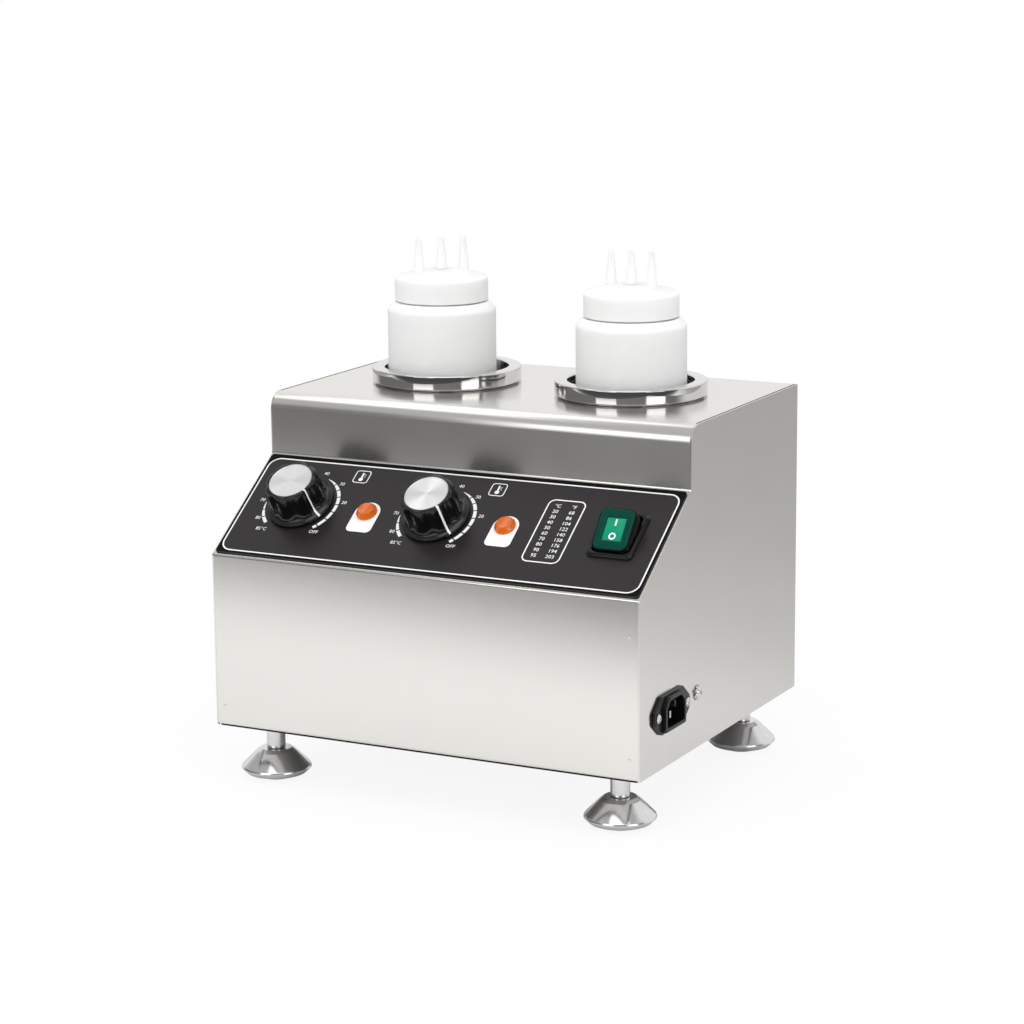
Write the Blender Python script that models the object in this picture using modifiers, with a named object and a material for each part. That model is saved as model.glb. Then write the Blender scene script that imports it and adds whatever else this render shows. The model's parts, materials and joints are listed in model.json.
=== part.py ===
"""Counter-top warmer with two dry wells, each holding a squeeze bottle of hot topping.

Frame: metres, +Z up, +X to the right seen from the front, front towards -Y.
The origin lies on the counter, under the middle of the whole object's outline.
"""
import math

import bmesh
import bpy
from mathutils import Matrix, Vector

# Casing
CASING_WIDTH = 0.280
CASING_DEPTH = 0.230
CASING_HEIGHT = 0.1915
FASCIA_HEIGHT = 0.0375
FASCIA_SETBACK = 0.070
PANEL_RISE = 0.049
SHEET = 0.001
FLANGE = 0.012
TOP_BEND_RADIUS = 0.010
FOLD_RADIUS = 0.0016
SEAM = 0.0003
OVERRUN = 0.004

# Wells and what surrounds them
WELL_PITCH = 0.126
WELL_BEHIND_MIDDLE = 0.0035
WELL_CLEARANCE = 0.0042
WELL_WALL = 0.0008
WELL_DEPTH = 0.104
WELL_FLOOR_RADIUS = 0.004
WELL_HOLE_CLEARANCE = 0.0008
WELL_LIP_WIDTH = 0.0056
COLLAR_OVERHANG = 0.0022
COLLAR_HEIGHT = 0.0084
COLLAR_BORE_CLEARANCE = 0.0007
COLLAR_EDGE = 0.0011
HEATER_THICKNESS = 0.0030
HEATER_HEIGHT = 0.050
HEATER_LIFT = 0.012
HEATER_SLIT = 0.004
LAGGING_THICKNESS = 0.0075
LAGGING_HEIGHT = 0.076

# Bottles and caps
BOTTLE_RADIUS = 0.0335
BOTTLE_WALL = 0.0013
BOTTLE_BODY_HEIGHT = 0.1465
BOTTLE_EXTRA_HEIGHT = {"left": 0.0027, "right": 0.0}
BOTTLE_FOOT_RADIUS = 0.004
SHOULDER_RISE = 0.0045
SHOULDER_LEDGE = 0.0035
NECK_RADIUS = 0.0260
NECK_HEIGHT = 0.0135
CAP_CLEARANCE = 0.0013
CAP_WALL = 0.0015
CAP_SKIRT_GAP = 0.0008
CAP_EDGE = 0.0020
CAP_DOME_RISE = 0.0048
CAP_DOME_SHARES = ((0.5, 0.9), (1.0, 0.6))
NOZZLE_PITCH = 0.0145
NOZZLE_ROOT_SHARE = 0.75
NOZZLE_BASE_RADIUS = 0.0033
NOZZLE_TIP_RADIUS = 0.0016
NOZZLE_HEIGHT = 0.0245
NOZZLE_BORE_SHARE = 0.45
NOZZLE_ROW_DEG = {"left": 47.0, "right": -8.0}
BOTTLE_LEAN_SHARES = {"left": -0.72, "right": 0.08}

# Sloped control panel
OVERLAY_THICKNESS = 0.0005
OVERLAY_MARGIN = 0.0014
OVERLAY_CORNER = 0.002
KNOB_FROM_LEFT = 0.0402
CONTROL_PITCH = 0.092
KNOB_UP_SLOPE = 0.0455
LAMP_FROM_KNOB = 0.0461
LAMP_UP_SLOPE = 0.044
SWITCH_FROM_RIGHT = 0.0300
SWITCH_UP_SLOPE = 0.0450

# Knobs and thermostats
KNOB_HEIGHT = 0.0200
KNOB_LIFT = 0.0006
KNOB_TOP_RADIUS = 0.0158
KNOB_TAPER = 0.0012
KNOB_FLARE = 0.0035
KNOB_SKIRT_HEIGHT = 0.0022
KNOB_FOOT_RISE = 0.0022
KNOB_EDGE = 0.0007
KNOB_RIM = 0.0024
KNOB_FLUTES = 8
KNOB_FLUTE_RADIUS = 0.0052
KNOB_FLUTE_DEPTH = 0.0014
DISC_THICKNESS = 0.0008
SHAFT_RADIUS = 0.0030
SHAFT_REACH = 0.0120
SHAFT_DEPTH = 0.0100
BUSH_WALL = 0.0016
BUSH_PROUD = 0.0030
THERMOSTAT_WIDTH = 0.034
THERMOSTAT_HEIGHT = 0.040
THERMOSTAT_DEPTH = 0.028
CAPILLARY_RADIUS = 0.0009
CAPILLARY_BEND = 0.012
CAPILLARY_BEND_SHARE = 0.3
BULB_RADIUS = 0.0030
BULB_LENGTH = 0.050

# Lamps
LENS_RADIUS = 0.0065
LENS_BEVEL = 0.0018
LENS_HEIGHT = 0.0036
LENS_RIM = 0.0010
LENS_FACETS = 16
LENS_OVERHANG = 0.0017
LAMP_BODY_LENGTH = 0.018

# Power switch, its rocker and the cap that tilts with it
ROCKER_WIDTH = 0.0150
ROCKER_LENGTH = 0.0210
ROCKER_SKIRT = 0.0040
ROCKER_TILT_DEG = 16.0
COVER_SIDE = 0.00375
COVER_END = 0.0030
COVER_RISE = 0.0063
COVER_DROP = 0.0055
COVER_WALL = 0.0009
COVER_CORNER = 0.0045
COVER_CLEARANCE = 0.0004
SWITCH_WALL = 0.0010
SWITCH_BODY_DEPTH = 0.020
BEZEL_SIDE = 0.00235
BEZEL_END = 0.0013
BEZEL_THICKNESS = 0.0024
BEZEL_CORNER = 0.003

# Mains inlet and earth screw
INLET_FROM_FRONT = 0.0411
INLET_ABOVE_BASE = 0.0322
INLET_RIM_WIDTH = 0.0280
INLET_RIM_HEIGHT = 0.0200
INLET_SCREW_SPACE = 0.006
INLET_EAR = 0.0042
INLET_FLANGE_MARGIN = 0.00125
INLET_FLANGE_THICKNESS = 0.0016
INLET_PROUD = 0.0042
INLET_CHAMFER = 0.0045
INLET_WALL = 0.0018
INLET_DEPTH = 0.017
INLET_FLOOR = 0.002
PIN_THICKNESS = 0.002
PIN_HEIGHT = 0.004
PIN_LENGTH = 0.0150
PIN_SPREAD = 0.007
PIN_OFFSET = 0.0025
INLET_SCREW_RADIUS = 0.0015
INLET_SCREW_HEAD_RADIUS = 0.0029
INLET_SCREW_HEAD = 0.0010
INLET_SCREW_LENGTH = 0.008
EARTH_BEHIND_FLANGE = 0.0137
EARTH_ABOVE_BASE = 0.0332
EARTH_SCREW_RADIUS = 0.0020
EARTH_HEAD_RADIUS = 0.0034
EARTH_HEAD = 0.0022
EARTH_WASHER_RADIUS = 0.0046
EARTH_WASHER = 0.0006
EARTH_TEETH = 10
EARTH_TOOTH_ROOT = 0.0035
EARTH_SCREW_LENGTH = 0.012
SCREW_FACE_SHARE = 0.7

# Rear panel and base
REAR_SCREW_INSET = 0.0065
REAR_SCREW_RADIUS = 0.0016
REAR_SCREW_HEAD_RADIUS = 0.0032
REAR_SCREW_HEAD = 0.0016
REAR_SCREW_LENGTH = 0.006
VENT_LENGTH = 0.050
VENT_HEIGHT = 0.0035
VENT_PITCH = 0.009
VENT_ROWS = 6
VENT_BANK_PITCH = 0.120
BASE_VENT_ROWS = 5
HOLE_CLEARANCE = 0.0004

# Feet
FOOT_HEIGHT = 0.036
FOOT_INSET_SIDE = 0.0246
FOOT_INSET_ENDS = 0.0270
PAD_RADIUS = 0.0213
PAD_SOLE_RADIUS = 0.0100
PAD_SOLE_HEIGHT = 0.0027
PAD_HEIGHT = 0.0180
PAD_CURVE_SHARES = ((0.45, 1.0), (0.56, 0.90), (0.975, 0.40), (1.0, 0.335))
PAD_LIP_SHARE = 0.845
STUD_RADIUS = 0.0040
STEM_STEP = 0.0017
STUD_REACH = 0.020
STUD_SEAT = 0.010
NUT_ACROSS_FLATS = 0.013
NUT_HEIGHT = 0.0065

# Wiring
WIRE_RADIUS = 0.0012
TERMINAL_LENGTH = 0.044
TERMINAL_WIDTH = 0.018
TERMINAL_HEIGHT = 0.014
TERMINAL_WAYS = 4
TERMINAL_SCREW_RADIUS = 0.0025
TERMINAL_SCREW_DEPTH = 0.004

# Facets of the round pieces, and steps of the bends and corners
LARGE_SEGMENTS = 32
MEDIUM_SEGMENTS = 24
SMALL_SEGMENTS = 16
TINY_SEGMENTS = 10
BORE_SEGMENTS = 6
BEND_STEPS = 6
FOLD_STEPS = 2
CORNER_STEPS = 3
EDGE_STEPS = 2
ROUTE_STEPS = 4
WELD = 0.00001
SMOOTH_ANGLE = math.radians(35)

# Sizes and places worked out from those above
LEFT = -(CASING_WIDTH + INLET_PROUD) / 2
RIGHT = LEFT + CASING_WIDTH
MIDDLE = LEFT + CASING_WIDTH / 2
FRONT = -(CASING_DEPTH + REAR_SCREW_HEAD) / 2
REAR = FRONT + CASING_DEPTH
BASE = FOOT_HEIGHT
TOP = BASE + CASING_HEIGHT
FASCIA_FOOT_HEIGHT = CASING_HEIGHT - FASCIA_HEIGHT
FRONT_HEIGHT = FASCIA_FOOT_HEIGHT - PANEL_RISE
SLOPE = math.atan2(PANEL_RISE, FASCIA_SETBACK)
SLOPE_LENGTH = math.hypot(PANEL_RISE, FASCIA_SETBACK)
INNER_WIDTH = CASING_WIDTH - 2 * (SHEET + SEAM)
BASE_PLATE_BOTTOM = BASE + SHEET + SEAM
BASE_PLATE_TOP = BASE_PLATE_BOTTOM + SHEET
PANEL_TOP = OVERLAY_THICKNESS + SEAM
SHOULDER_RADIUS = NECK_RADIUS + SHOULDER_LEDGE
CAP_RADIUS = NECK_RADIUS + CAP_CLEARANCE + CAP_WALL
WELL_Y = FRONT + (FASCIA_SETBACK + CASING_DEPTH) / 2 + WELL_BEHIND_MIDDLE
WELL_X = {"left": MIDDLE - WELL_PITCH / 2, "right": MIDDLE + WELL_PITCH / 2}
WELL_RADIUS = BOTTLE_RADIUS + WELL_CLEARANCE
WELL_OUTER = WELL_RADIUS + WELL_WALL
WELL_FLOOR = TOP - WELL_DEPTH
WELL_UNDERSIDE = WELL_FLOOR - WELL_WALL
LIP_TOP = TOP + SEAM + WELL_WALL
LIP_RADIUS = WELL_OUTER + WELL_LIP_WIDTH
KNOB_X = {"left": KNOB_FROM_LEFT, "right": KNOB_FROM_LEFT + CONTROL_PITCH}
KNOB_BODY_RADIUS = KNOB_TOP_RADIUS + KNOB_TAPER
KNOB_SKIRT_RADIUS = KNOB_BODY_RADIUS + KNOB_FLARE
DISC_RADIUS = KNOB_TOP_RADIUS - KNOB_RIM
BUSH_RADIUS = SHAFT_RADIUS + BUSH_WALL
LENS_FACE_RADIUS = LENS_RADIUS - LENS_BEVEL
LAMP_BODY_RADIUS = LENS_RADIUS - LENS_OVERHANG
SWITCH_X = CASING_WIDTH - SWITCH_FROM_RIGHT
ROCKER_TILT = math.radians(ROCKER_TILT_DEG)
COVER_WIDTH = ROCKER_WIDTH + 2 * COVER_SIDE
COVER_HEIGHT = ROCKER_LENGTH + 2 * COVER_END
COVER_SWEEP = COVER_DROP * math.cos(ROCKER_TILT) + COVER_HEIGHT / 2 * math.sin(ROCKER_TILT)
POCKET_WIDTH = COVER_WIDTH + 2 * COVER_CLEARANCE
POCKET_HEIGHT = 2 * (math.hypot(COVER_HEIGHT / 2, COVER_DROP) + COVER_CLEARANCE)
POCKET_DEPTH = SEAM + COVER_SWEEP + COVER_CLEARANCE
SWITCH_BODY_WIDTH = POCKET_WIDTH + 2 * SWITCH_WALL
SWITCH_BODY_HEIGHT = POCKET_HEIGHT + 2 * SWITCH_WALL
BEZEL_WIDTH = SWITCH_BODY_WIDTH + 2 * BEZEL_SIDE
BEZEL_HEIGHT = SWITCH_BODY_HEIGHT + 2 * BEZEL_END
INLET_SCREW_PITCH = INLET_RIM_WIDTH + 2 * INLET_SCREW_SPACE
INLET_FLANGE_LENGTH = INLET_SCREW_PITCH + 2 * INLET_EAR
INLET_FLANGE_HEIGHT = INLET_RIM_HEIGHT + 2 * INLET_FLANGE_MARGIN
EARTH_BEHIND_INLET = INLET_FLANGE_LENGTH / 2 + EARTH_BEHIND_FLANGE
STEM_RADIUS = STUD_RADIUS + STEM_STEP
SIDES = ("left", "right")

STAINLESS = ((0.62, 0.61, 0.60), 0.30, 1.0)
POLISHED = ((0.75, 0.75, 0.76), 0.08, 1.0)
ALUMINIUM = ((0.86, 0.86, 0.87), 0.25, 1.0)
BRASS = ((0.72, 0.58, 0.30), 0.30, 1.0)
BLACK_PLASTIC = ((0.02, 0.02, 0.02), 0.35, 0.0)
BLACK_PRINT = ((0.035, 0.035, 0.04), 0.45, 0.0)
GREY_LAGGING = ((0.70, 0.68, 0.62), 0.95, 0.0)
MICA_STEEL = ((0.45, 0.42, 0.38), 0.45, 1.0)
AMBER = ((0.85, 0.28, 0.04), 0.15, 0.0)
GREEN = ((0.00, 0.30, 0.20), 0.20, 0.0)
CLEAR_PLASTIC = ((0.55, 0.62, 0.60), 0.10, 0.0)
MILKY_PLASTIC = ((0.93, 0.93, 0.93), 0.30, 0.0)
CREAM_PLASTIC = ((0.80, 0.78, 0.70), 0.50, 0.0)
BROWN_WIRE = ((0.22, 0.09, 0.03), 0.40, 0.0)
BLUE_WIRE = ((0.03, 0.12, 0.50), 0.40, 0.0)
EARTH_WIRE = ((0.20, 0.45, 0.05), 0.40, 0.0)
RED_WIRE = ((0.50, 0.04, 0.03), 0.40, 0.0)


def clear_scene():
    for item in list(bpy.data.objects):
        bpy.data.objects.remove(item, do_unlink=True)


def collection(name):
    group = bpy.data.collections.new(name)
    bpy.context.scene.collection.children.link(group)
    return group


def material(name, look):
    colour, roughness, metallic = look
    made = bpy.data.materials.new(name)
    made.use_nodes = True
    shader = made.node_tree.nodes["Principled BSDF"]
    shader.inputs["Base Color"].default_value = (*colour, 1.0)
    shader.inputs["Roughness"].default_value = roughness
    shader.inputs["Metallic"].default_value = metallic
    return made


def empty(name, location, rotation=(0.0, 0.0, 0.0)):
    made = bpy.data.objects.new(name, None)
    GUIDES.objects.link(made)
    made.location = location
    made.rotation_euler = rotation
    return made


def finish(item, look, parent=None):
    """Give a piece its material and, where it has one, the empty that carries it."""
    item.data.materials.clear()
    item.data.materials.append(material(item.name, look))
    item.parent = parent
    return item


def as_guide(item, parent=None):
    """Turn an object into a cutter that no render or build reads."""
    for group in list(item.users_collection):
        group.objects.unlink(item)
    GUIDES.objects.link(item)
    item.hide_render = True
    item.display_type = "WIRE"
    item.parent = parent
    return item


def change(item, tool, operation):
    step = item.modifiers.new(f"{operation.lower()}_{tool.name}", "BOOLEAN")
    step.object = tool
    step.operation = operation
    step.solver = "EXACT"


def cut(item, tool, parent=None):
    change(item, as_guide(tool, parent), "DIFFERENCE")


def join(item, tool, parent=None):
    change(item, as_guide(tool, parent), "UNION")


def mesh_object(name, shape):
    data = bpy.data.meshes.new(name)
    shape.to_mesh(data)
    shape.free()
    made = bpy.data.objects.new(name, data)
    PARTS.objects.link(made)
    return made


def smooth(item):
    item.data.shade_smooth()
    item.data.set_sharp_from_angle(angle=SMOOTH_ANGLE)
    return item


def settle(item):
    """Replace an object by the mesh that its curve or modifiers make, with its seams welded."""
    bpy.context.view_layer.update()
    seen = item.evaluated_get(bpy.context.evaluated_depsgraph_get())
    data = bpy.data.meshes.new_from_object(seen)
    shape = bmesh.new()
    shape.from_mesh(data)
    bmesh.ops.remove_doubles(shape, verts=shape.verts, dist=WELD)
    shape.to_mesh(data)
    shape.free()
    name = item.name
    place = item.matrix_world.copy()
    bpy.data.objects.remove(item, do_unlink=True)
    made = bpy.data.objects.new(name, data)
    data.name = name
    PARTS.objects.link(made)
    made.matrix_world = place
    return made


def box(name, low, high):
    """A box between two corners."""
    low = Vector(low)
    high = Vector(high)
    shape = bmesh.new()
    span = Matrix.Diagonal((high - low).to_4d())
    span[3][3] = 1
    bmesh.ops.create_cube(shape, size=1, matrix=Matrix.Translation((low + high) / 2) @ span)
    return mesh_object(name, shape)


def rod(name, radius, low, high, segments, end_radius=None):
    """A round bar along its own Z, or a cone where the end radius differs."""
    shape = bmesh.new()
    bmesh.ops.create_cone(
        shape,
        cap_ends=True,
        segments=segments,
        radius1=radius,
        radius2=radius if end_radius is None else end_radius,
        depth=high - low,
        matrix=Matrix.Translation((0, 0, (low + high) / 2)),
    )
    return smooth(mesh_object(name, shape))


def turned(name, profile, segments, closed=False):
    """A profile of (radius, height) points turned about Z, its outer side running down."""
    shape = bmesh.new()
    points = [shape.verts.new((radius, 0, height)) for radius, height in profile]
    for start, end in zip(points, points[1:]):
        shape.edges.new((start, end))
    if closed:
        shape.edges.new((points[-1], points[0]))
    made = mesh_object(name, shape)
    screw = made.modifiers.new("turn", "SCREW")
    screw.steps = segments
    screw.render_steps = segments
    screw.use_merge_vertices = True
    screw.merge_threshold = WELD
    return smooth(settle(made))


def plate(name, outline, thickness):
    """A flat outline in its own XY plane, grown upwards by its thickness."""
    curve = bpy.data.curves.new(name, "CURVE")
    curve.dimensions = "2D"
    curve.fill_mode = "BOTH"
    curve.extrude = thickness / 2
    spline = curve.splines.new("POLY")
    spline.points.add(len(outline) - 1)
    for point, (x, y) in zip(spline.points, outline):
        point.co = (x, y, 0, 1)
    spline.use_cyclic_u = True
    made = bpy.data.objects.new(name, curve)
    PARTS.objects.link(made)
    made = settle(made)
    made.data.transform(Matrix.Translation((0, 0, thickness / 2)))
    return made


def tube(name, points, radius):
    """A wire or capillary along a smooth curve through its points, square at both ends."""
    curve = bpy.data.curves.new(name, "CURVE")
    curve.dimensions = "3D"
    curve.bevel_depth = radius
    curve.bevel_resolution = 1
    curve.use_fill_caps = True
    spline = curve.splines.new("POLY")
    spline.points.add(len(points) - 1)
    for point, place in zip(spline.points, points):
        point.co = (*place, 1)
    made = bpy.data.objects.new(name, curve)
    PARTS.objects.link(made)
    return smooth(settle(made))


def smooth_route(places):
    """Points of a smooth curve through a route's places, straight out of both its ends."""
    places = [Vector(place) for place in places]
    legs = [(end - start).normalized() for start, end in zip(places, places[1:])]
    headings = [legs[0], *((before + after).normalized() for before, after in zip(legs, legs[1:])), legs[-1]]
    route = []
    for index, (start, end) in enumerate(zip(places, places[1:])):
        leave = headings[index] * (end - start).length
        arrive = headings[index + 1] * (end - start).length
        for step in range(ROUTE_STEPS):
            t = step / ROUTE_STEPS
            bend = (end - start) * 3 - leave * 2 - arrive
            twist = leave + arrive - (end - start) * 2
            route.append(start + leave * t + bend * t ** 2 + twist * t ** 3)
    route.append(places[-1])
    return route


def rounded_rectangle(width, height, radius):
    outline = []
    for quarter, (side, end) in enumerate(((1, 1), (-1, 1), (-1, -1), (1, -1))):
        for step in range(CORNER_STEPS + 1):
            angle = math.pi / 2 * (quarter + step / CORNER_STEPS)
            x = side * (width / 2 - radius) + radius * math.cos(angle)
            y = end * (height / 2 - radius) + radius * math.sin(angle)
            outline.append((x, y))
    return outline


def rounded_edge(radius, height, edge, steps=EDGE_STEPS):
    """Profile points of an outer top edge, from its top round to its side."""
    turns = [math.pi / 2 * step / steps for step in range(steps + 1)]
    return [(radius - edge + edge * math.sin(turn), height - edge + edge * math.cos(turn)) for turn in turns]


def screw_profile(head_radius, head, radius, seat, length):
    """Half a pan-head screw, its head standing on the seat."""
    return [
        (0, seat + head),
        (head_radius * SCREW_FACE_SHARE, seat + head),
        (head_radius, seat),
        (radius, seat),
        (radius, seat - length),
        (0, seat - length),
    ]


def folded(corners):
    """Points of a folded sheet's line, from corners of (y, z, fold radius, steps)."""
    line = []
    for index, (y, z, radius, steps) in enumerate(corners):
        corner = Vector((y, z))
        if radius == 0:
            line.append(corner)
            continue
        towards = (Vector(corners[index - 1][:2]) - corner).normalized()
        away = (Vector(corners[index + 1][:2]) - corner).normalized()
        half = towards.angle(away) / 2
        centre = corner + (towards + away).normalized() * (radius / math.sin(half))
        start = corner + towards * (radius / math.tan(half)) - centre
        turn = start.angle_signed(corner + away * (radius / math.tan(half)) - centre)
        for step in range(steps + 1):
            spun = Matrix.Rotation(-turn * step / steps, 2) @ start
            line.append(centre + spun)
    return line


def casing_line():
    """The casing's outer line from the foot of the front to the rear of the top."""
    return [
        (0, FRONT_HEIGHT, FOLD_RADIUS, FOLD_STEPS),
        (FASCIA_SETBACK, FASCIA_FOOT_HEIGHT, FOLD_RADIUS, FOLD_STEPS),
        (FASCIA_SETBACK, CASING_HEIGHT, TOP_BEND_RADIUS, BEND_STEPS),
    ]


def on_panel(item, x, up_slope, lift=0.0):
    """Place an object on the sloped panel, with its Z pointing out of the panel."""
    item.parent = PANEL
    item.location = (x, up_slope, lift)
    return item


def panel_cutters(prefix, low, high):
    """Cutters for every hole of the sloped panel, between two depths."""
    made = []
    for side in SIDES:
        hole = rod(f"{prefix}_shaft_hole_{side}", BUSH_RADIUS + HOLE_CLEARANCE, low, high, SMALL_SEGMENTS)
        made.append((hole, KNOB_X[side], KNOB_UP_SLOPE))
        hole = rod(f"{prefix}_lamp_hole_{side}", LAMP_BODY_RADIUS + HOLE_CLEARANCE, low, high, SMALL_SEGMENTS)
        made.append((hole, KNOB_X[side] + LAMP_FROM_KNOB, LAMP_UP_SLOPE))
    half_width = SWITCH_BODY_WIDTH / 2 + HOLE_CLEARANCE
    half_height = SWITCH_BODY_HEIGHT / 2 + HOLE_CLEARANCE
    hole = box(f"{prefix}_switch_hole", (-half_width, -half_height, low), (half_width, half_height, high))
    made.append((hole, SWITCH_X, SWITCH_UP_SLOPE))
    return made


def make_front_top_wrap():
    foot = [(FLANGE, 0, 0, 0), (0, 0, FOLD_RADIUS, FOLD_STEPS)]
    line = folded([*foot, *casing_line(), (CASING_DEPTH, CASING_HEIGHT, 0, 0)])
    shape = bmesh.new()
    rows = []
    for y, z in line:
        left = shape.verts.new((SHEET + SEAM, y, z))
        right = shape.verts.new((CASING_WIDTH - SHEET - SEAM, y, z))
        rows.append((left, right))
    for (left, right), (next_left, next_right) in zip(rows, rows[1:]):
        shape.faces.new((left, right, next_right, next_left))
    wrap = mesh_object("front_top_wrap", shape)
    wrap.location = (LEFT, FRONT, BASE)
    skin = wrap.modifiers.new("sheet", "SOLIDIFY")
    skin.thickness = SHEET
    skin.offset = -1
    skin.use_even_offset = True
    hole_radius = WELL_OUTER + WELL_HOLE_CLEARANCE
    for side in SIDES:
        hole = rod(f"wrap_well_hole_{side}", hole_radius, -OVERRUN, OVERRUN, LARGE_SEGMENTS)
        hole.location = (WELL_X[side], WELL_Y, TOP)
        cut(wrap, hole)
    for hole, x, up_slope in panel_cutters("wrap", -OVERRUN, OVERRUN):
        cut(wrap, on_panel(hole, x, up_slope), PANEL)
    finish(wrap, STAINLESS)


def make_side_panel(side):
    outer = LEFT if side == "left" else RIGHT
    inward = 1 if side == "left" else -1
    corners = [(0, 0, 0, 0), *casing_line(), (CASING_DEPTH, CASING_HEIGHT, 0, 0), (CASING_DEPTH, 0, 0, 0)]
    panel = plate(f"{side}_side_panel", folded(corners), SHEET)
    panel.rotation_euler = (math.pi / 2, 0, math.pi / 2)
    panel.location = (min(outer, outer + inward * SHEET), FRONT, BASE)
    flange_x = sorted((outer + inward * SHEET / 2, outer + inward * FLANGE))
    rear_face = REAR - SHEET - SEAM
    rear = box(
        f"{side}_rear_flange",
        (flange_x[0], rear_face - SHEET, BASE),
        (flange_x[1], rear_face, TOP - SHEET - SEAM),
    )
    join(panel, rear)
    foot = box(
        f"{side}_foot_flange",
        (flange_x[0], FRONT + FLANGE + SEAM, BASE),
        (flange_x[1], rear_face - SHEET / 2, BASE + SHEET),
    )
    join(panel, foot)
    hole_radius = REAR_SCREW_RADIUS + SEAM
    for x, z in rear_screw_places():
        if (x < 0) == (side == "left"):
            hole = rod(f"{side}_rear_hole_{z:.3f}", hole_radius, -OVERRUN, OVERRUN, TINY_SEGMENTS)
            hole.rotation_euler = (math.pi / 2, 0, 0)
            hole.location = (x, rear_face, z)
            cut(panel, hole)
    if side == "right":
        cut_inlet_holes(panel)
    finish(panel, STAINLESS)


def inlet_frame():
    """An empty at the inlet's middle: its X runs to the rear, its Y up and its Z outwards."""
    place = (RIGHT, FRONT + INLET_FROM_FRONT, BASE + INLET_ABOVE_BASE)
    return empty("inlet_frame", place, (math.pi / 2, 0, math.pi / 2))


def cut_inlet_holes(panel):
    half_width = INLET_RIM_WIDTH / 2 + HOLE_CLEARANCE
    half_height = INLET_RIM_HEIGHT / 2 + HOLE_CLEARANCE
    hole = box("inlet_hole", (-half_width, -half_height, -OVERRUN), (half_width, half_height, OVERRUN))
    cut(panel, hole, INLET)
    for end, x in (("front", -INLET_SCREW_PITCH / 2), ("rear", INLET_SCREW_PITCH / 2)):
        hole = rod(f"inlet_screw_hole_{end}", INLET_SCREW_RADIUS + SEAM, -OVERRUN, OVERRUN, TINY_SEGMENTS)
        hole.location = (x, 0, 0)
        cut(panel, hole, INLET)
    hole = rod("earth_hole", EARTH_SCREW_RADIUS + SEAM, -OVERRUN, OVERRUN, TINY_SEGMENTS)
    hole.location = (EARTH_BEHIND_INLET, EARTH_ABOVE_BASE - INLET_ABOVE_BASE, 0)
    cut(panel, hole, INLET)


def rear_screw_places():
    inset = SHEET + REAR_SCREW_INSET
    return [
        (x, z)
        for x in (LEFT + inset, RIGHT - inset)
        for z in (BASE + inset * 2, TOP - inset * 2)
    ]


def make_rear_panel():
    side = LEFT + SHEET + SEAM
    panel = box("rear_panel", (side, REAR - SHEET, BASE), (side + INNER_WIDTH, REAR, TOP - SHEET - SEAM))
    for bank, x in enumerate((MIDDLE - VENT_BANK_PITCH / 2, MIDDLE + VENT_BANK_PITCH / 2)):
        for row in range(VENT_ROWS):
            z = BASE + CASING_HEIGHT / 2 + (row - (VENT_ROWS - 1) / 2) * VENT_PITCH
            slot = box(
                f"rear_vent_{bank}_{row}",
                (x - VENT_LENGTH / 2, REAR - OVERRUN, z - VENT_HEIGHT / 2),
                (x + VENT_LENGTH / 2, REAR + OVERRUN, z + VENT_HEIGHT / 2),
            )
            cut(panel, slot)
    for index, (x, z) in enumerate(rear_screw_places()):
        hole = rod(f"rear_screw_hole_{index}", REAR_SCREW_RADIUS + SEAM, -OVERRUN, OVERRUN, TINY_SEGMENTS)
        hole.rotation_euler = (math.pi / 2, 0, 0)
        hole.location = (x, REAR, z)
        cut(panel, hole)
        make_rear_screw(index, x, z)
    finish(panel, STAINLESS)


def make_rear_screw(index, x, z):
    across = ("left", "left", "right", "right")[index]
    height = ("lower", "upper")[index % 2]
    head = REAR_SCREW_HEAD - SEAM
    profile = screw_profile(REAR_SCREW_HEAD_RADIUS, head, REAR_SCREW_RADIUS, SEAM, REAR_SCREW_LENGTH)
    screw = turned(f"rear_screw_{across}_{height}", profile, TINY_SEGMENTS)
    screw.rotation_euler = (-math.pi / 2, 0, 0)
    screw.location = (x, REAR, z)
    finish(screw, POLISHED)


def foot_places():
    return {
        "front_left": (LEFT + FOOT_INSET_SIDE, FRONT + FOOT_INSET_ENDS),
        "front_right": (RIGHT - FOOT_INSET_SIDE, FRONT + FOOT_INSET_ENDS),
        "rear_left": (LEFT + FOOT_INSET_SIDE, REAR - FOOT_INSET_ENDS),
        "rear_right": (RIGHT - FOOT_INSET_SIDE, REAR - FOOT_INSET_ENDS),
    }


def make_base_plate():
    side = LEFT + SHEET + SEAM
    front = FRONT + SHEET + SEAM
    rear = REAR - 2 * (SHEET + SEAM)
    base = box("base_plate", (side, front, BASE_PLATE_BOTTOM), (side + INNER_WIDTH, rear, BASE_PLATE_TOP))
    for row in range(BASE_VENT_ROWS):
        y = WELL_Y + (row - (BASE_VENT_ROWS - 1) / 2) * VENT_PITCH
        slot = box(
            f"base_vent_{row}",
            (MIDDLE - VENT_LENGTH / 2, y - VENT_HEIGHT / 2, BASE_PLATE_BOTTOM - OVERRUN),
            (MIDDLE + VENT_LENGTH / 2, y + VENT_HEIGHT / 2, BASE_PLATE_TOP + OVERRUN),
        )
        cut(base, slot)
    nut_radius = NUT_ACROSS_FLATS / 2 / math.cos(math.pi / 6)
    hole_radius = STUD_RADIUS + HOLE_CLEARANCE
    for name, (x, y) in foot_places().items():
        nut = rod(f"weld_nut_{name}", nut_radius, -SHEET / 2, NUT_HEIGHT, 6)
        nut.location = (x, y, BASE_PLATE_TOP)
        join(base, nut)
        hole = rod(f"foot_hole_{name}", hole_radius, -OVERRUN, NUT_HEIGHT + OVERRUN, SMALL_SEGMENTS)
        hole.location = (x, y, BASE_PLATE_TOP)
        cut(base, hole)
    finish(base, STAINLESS)


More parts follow.
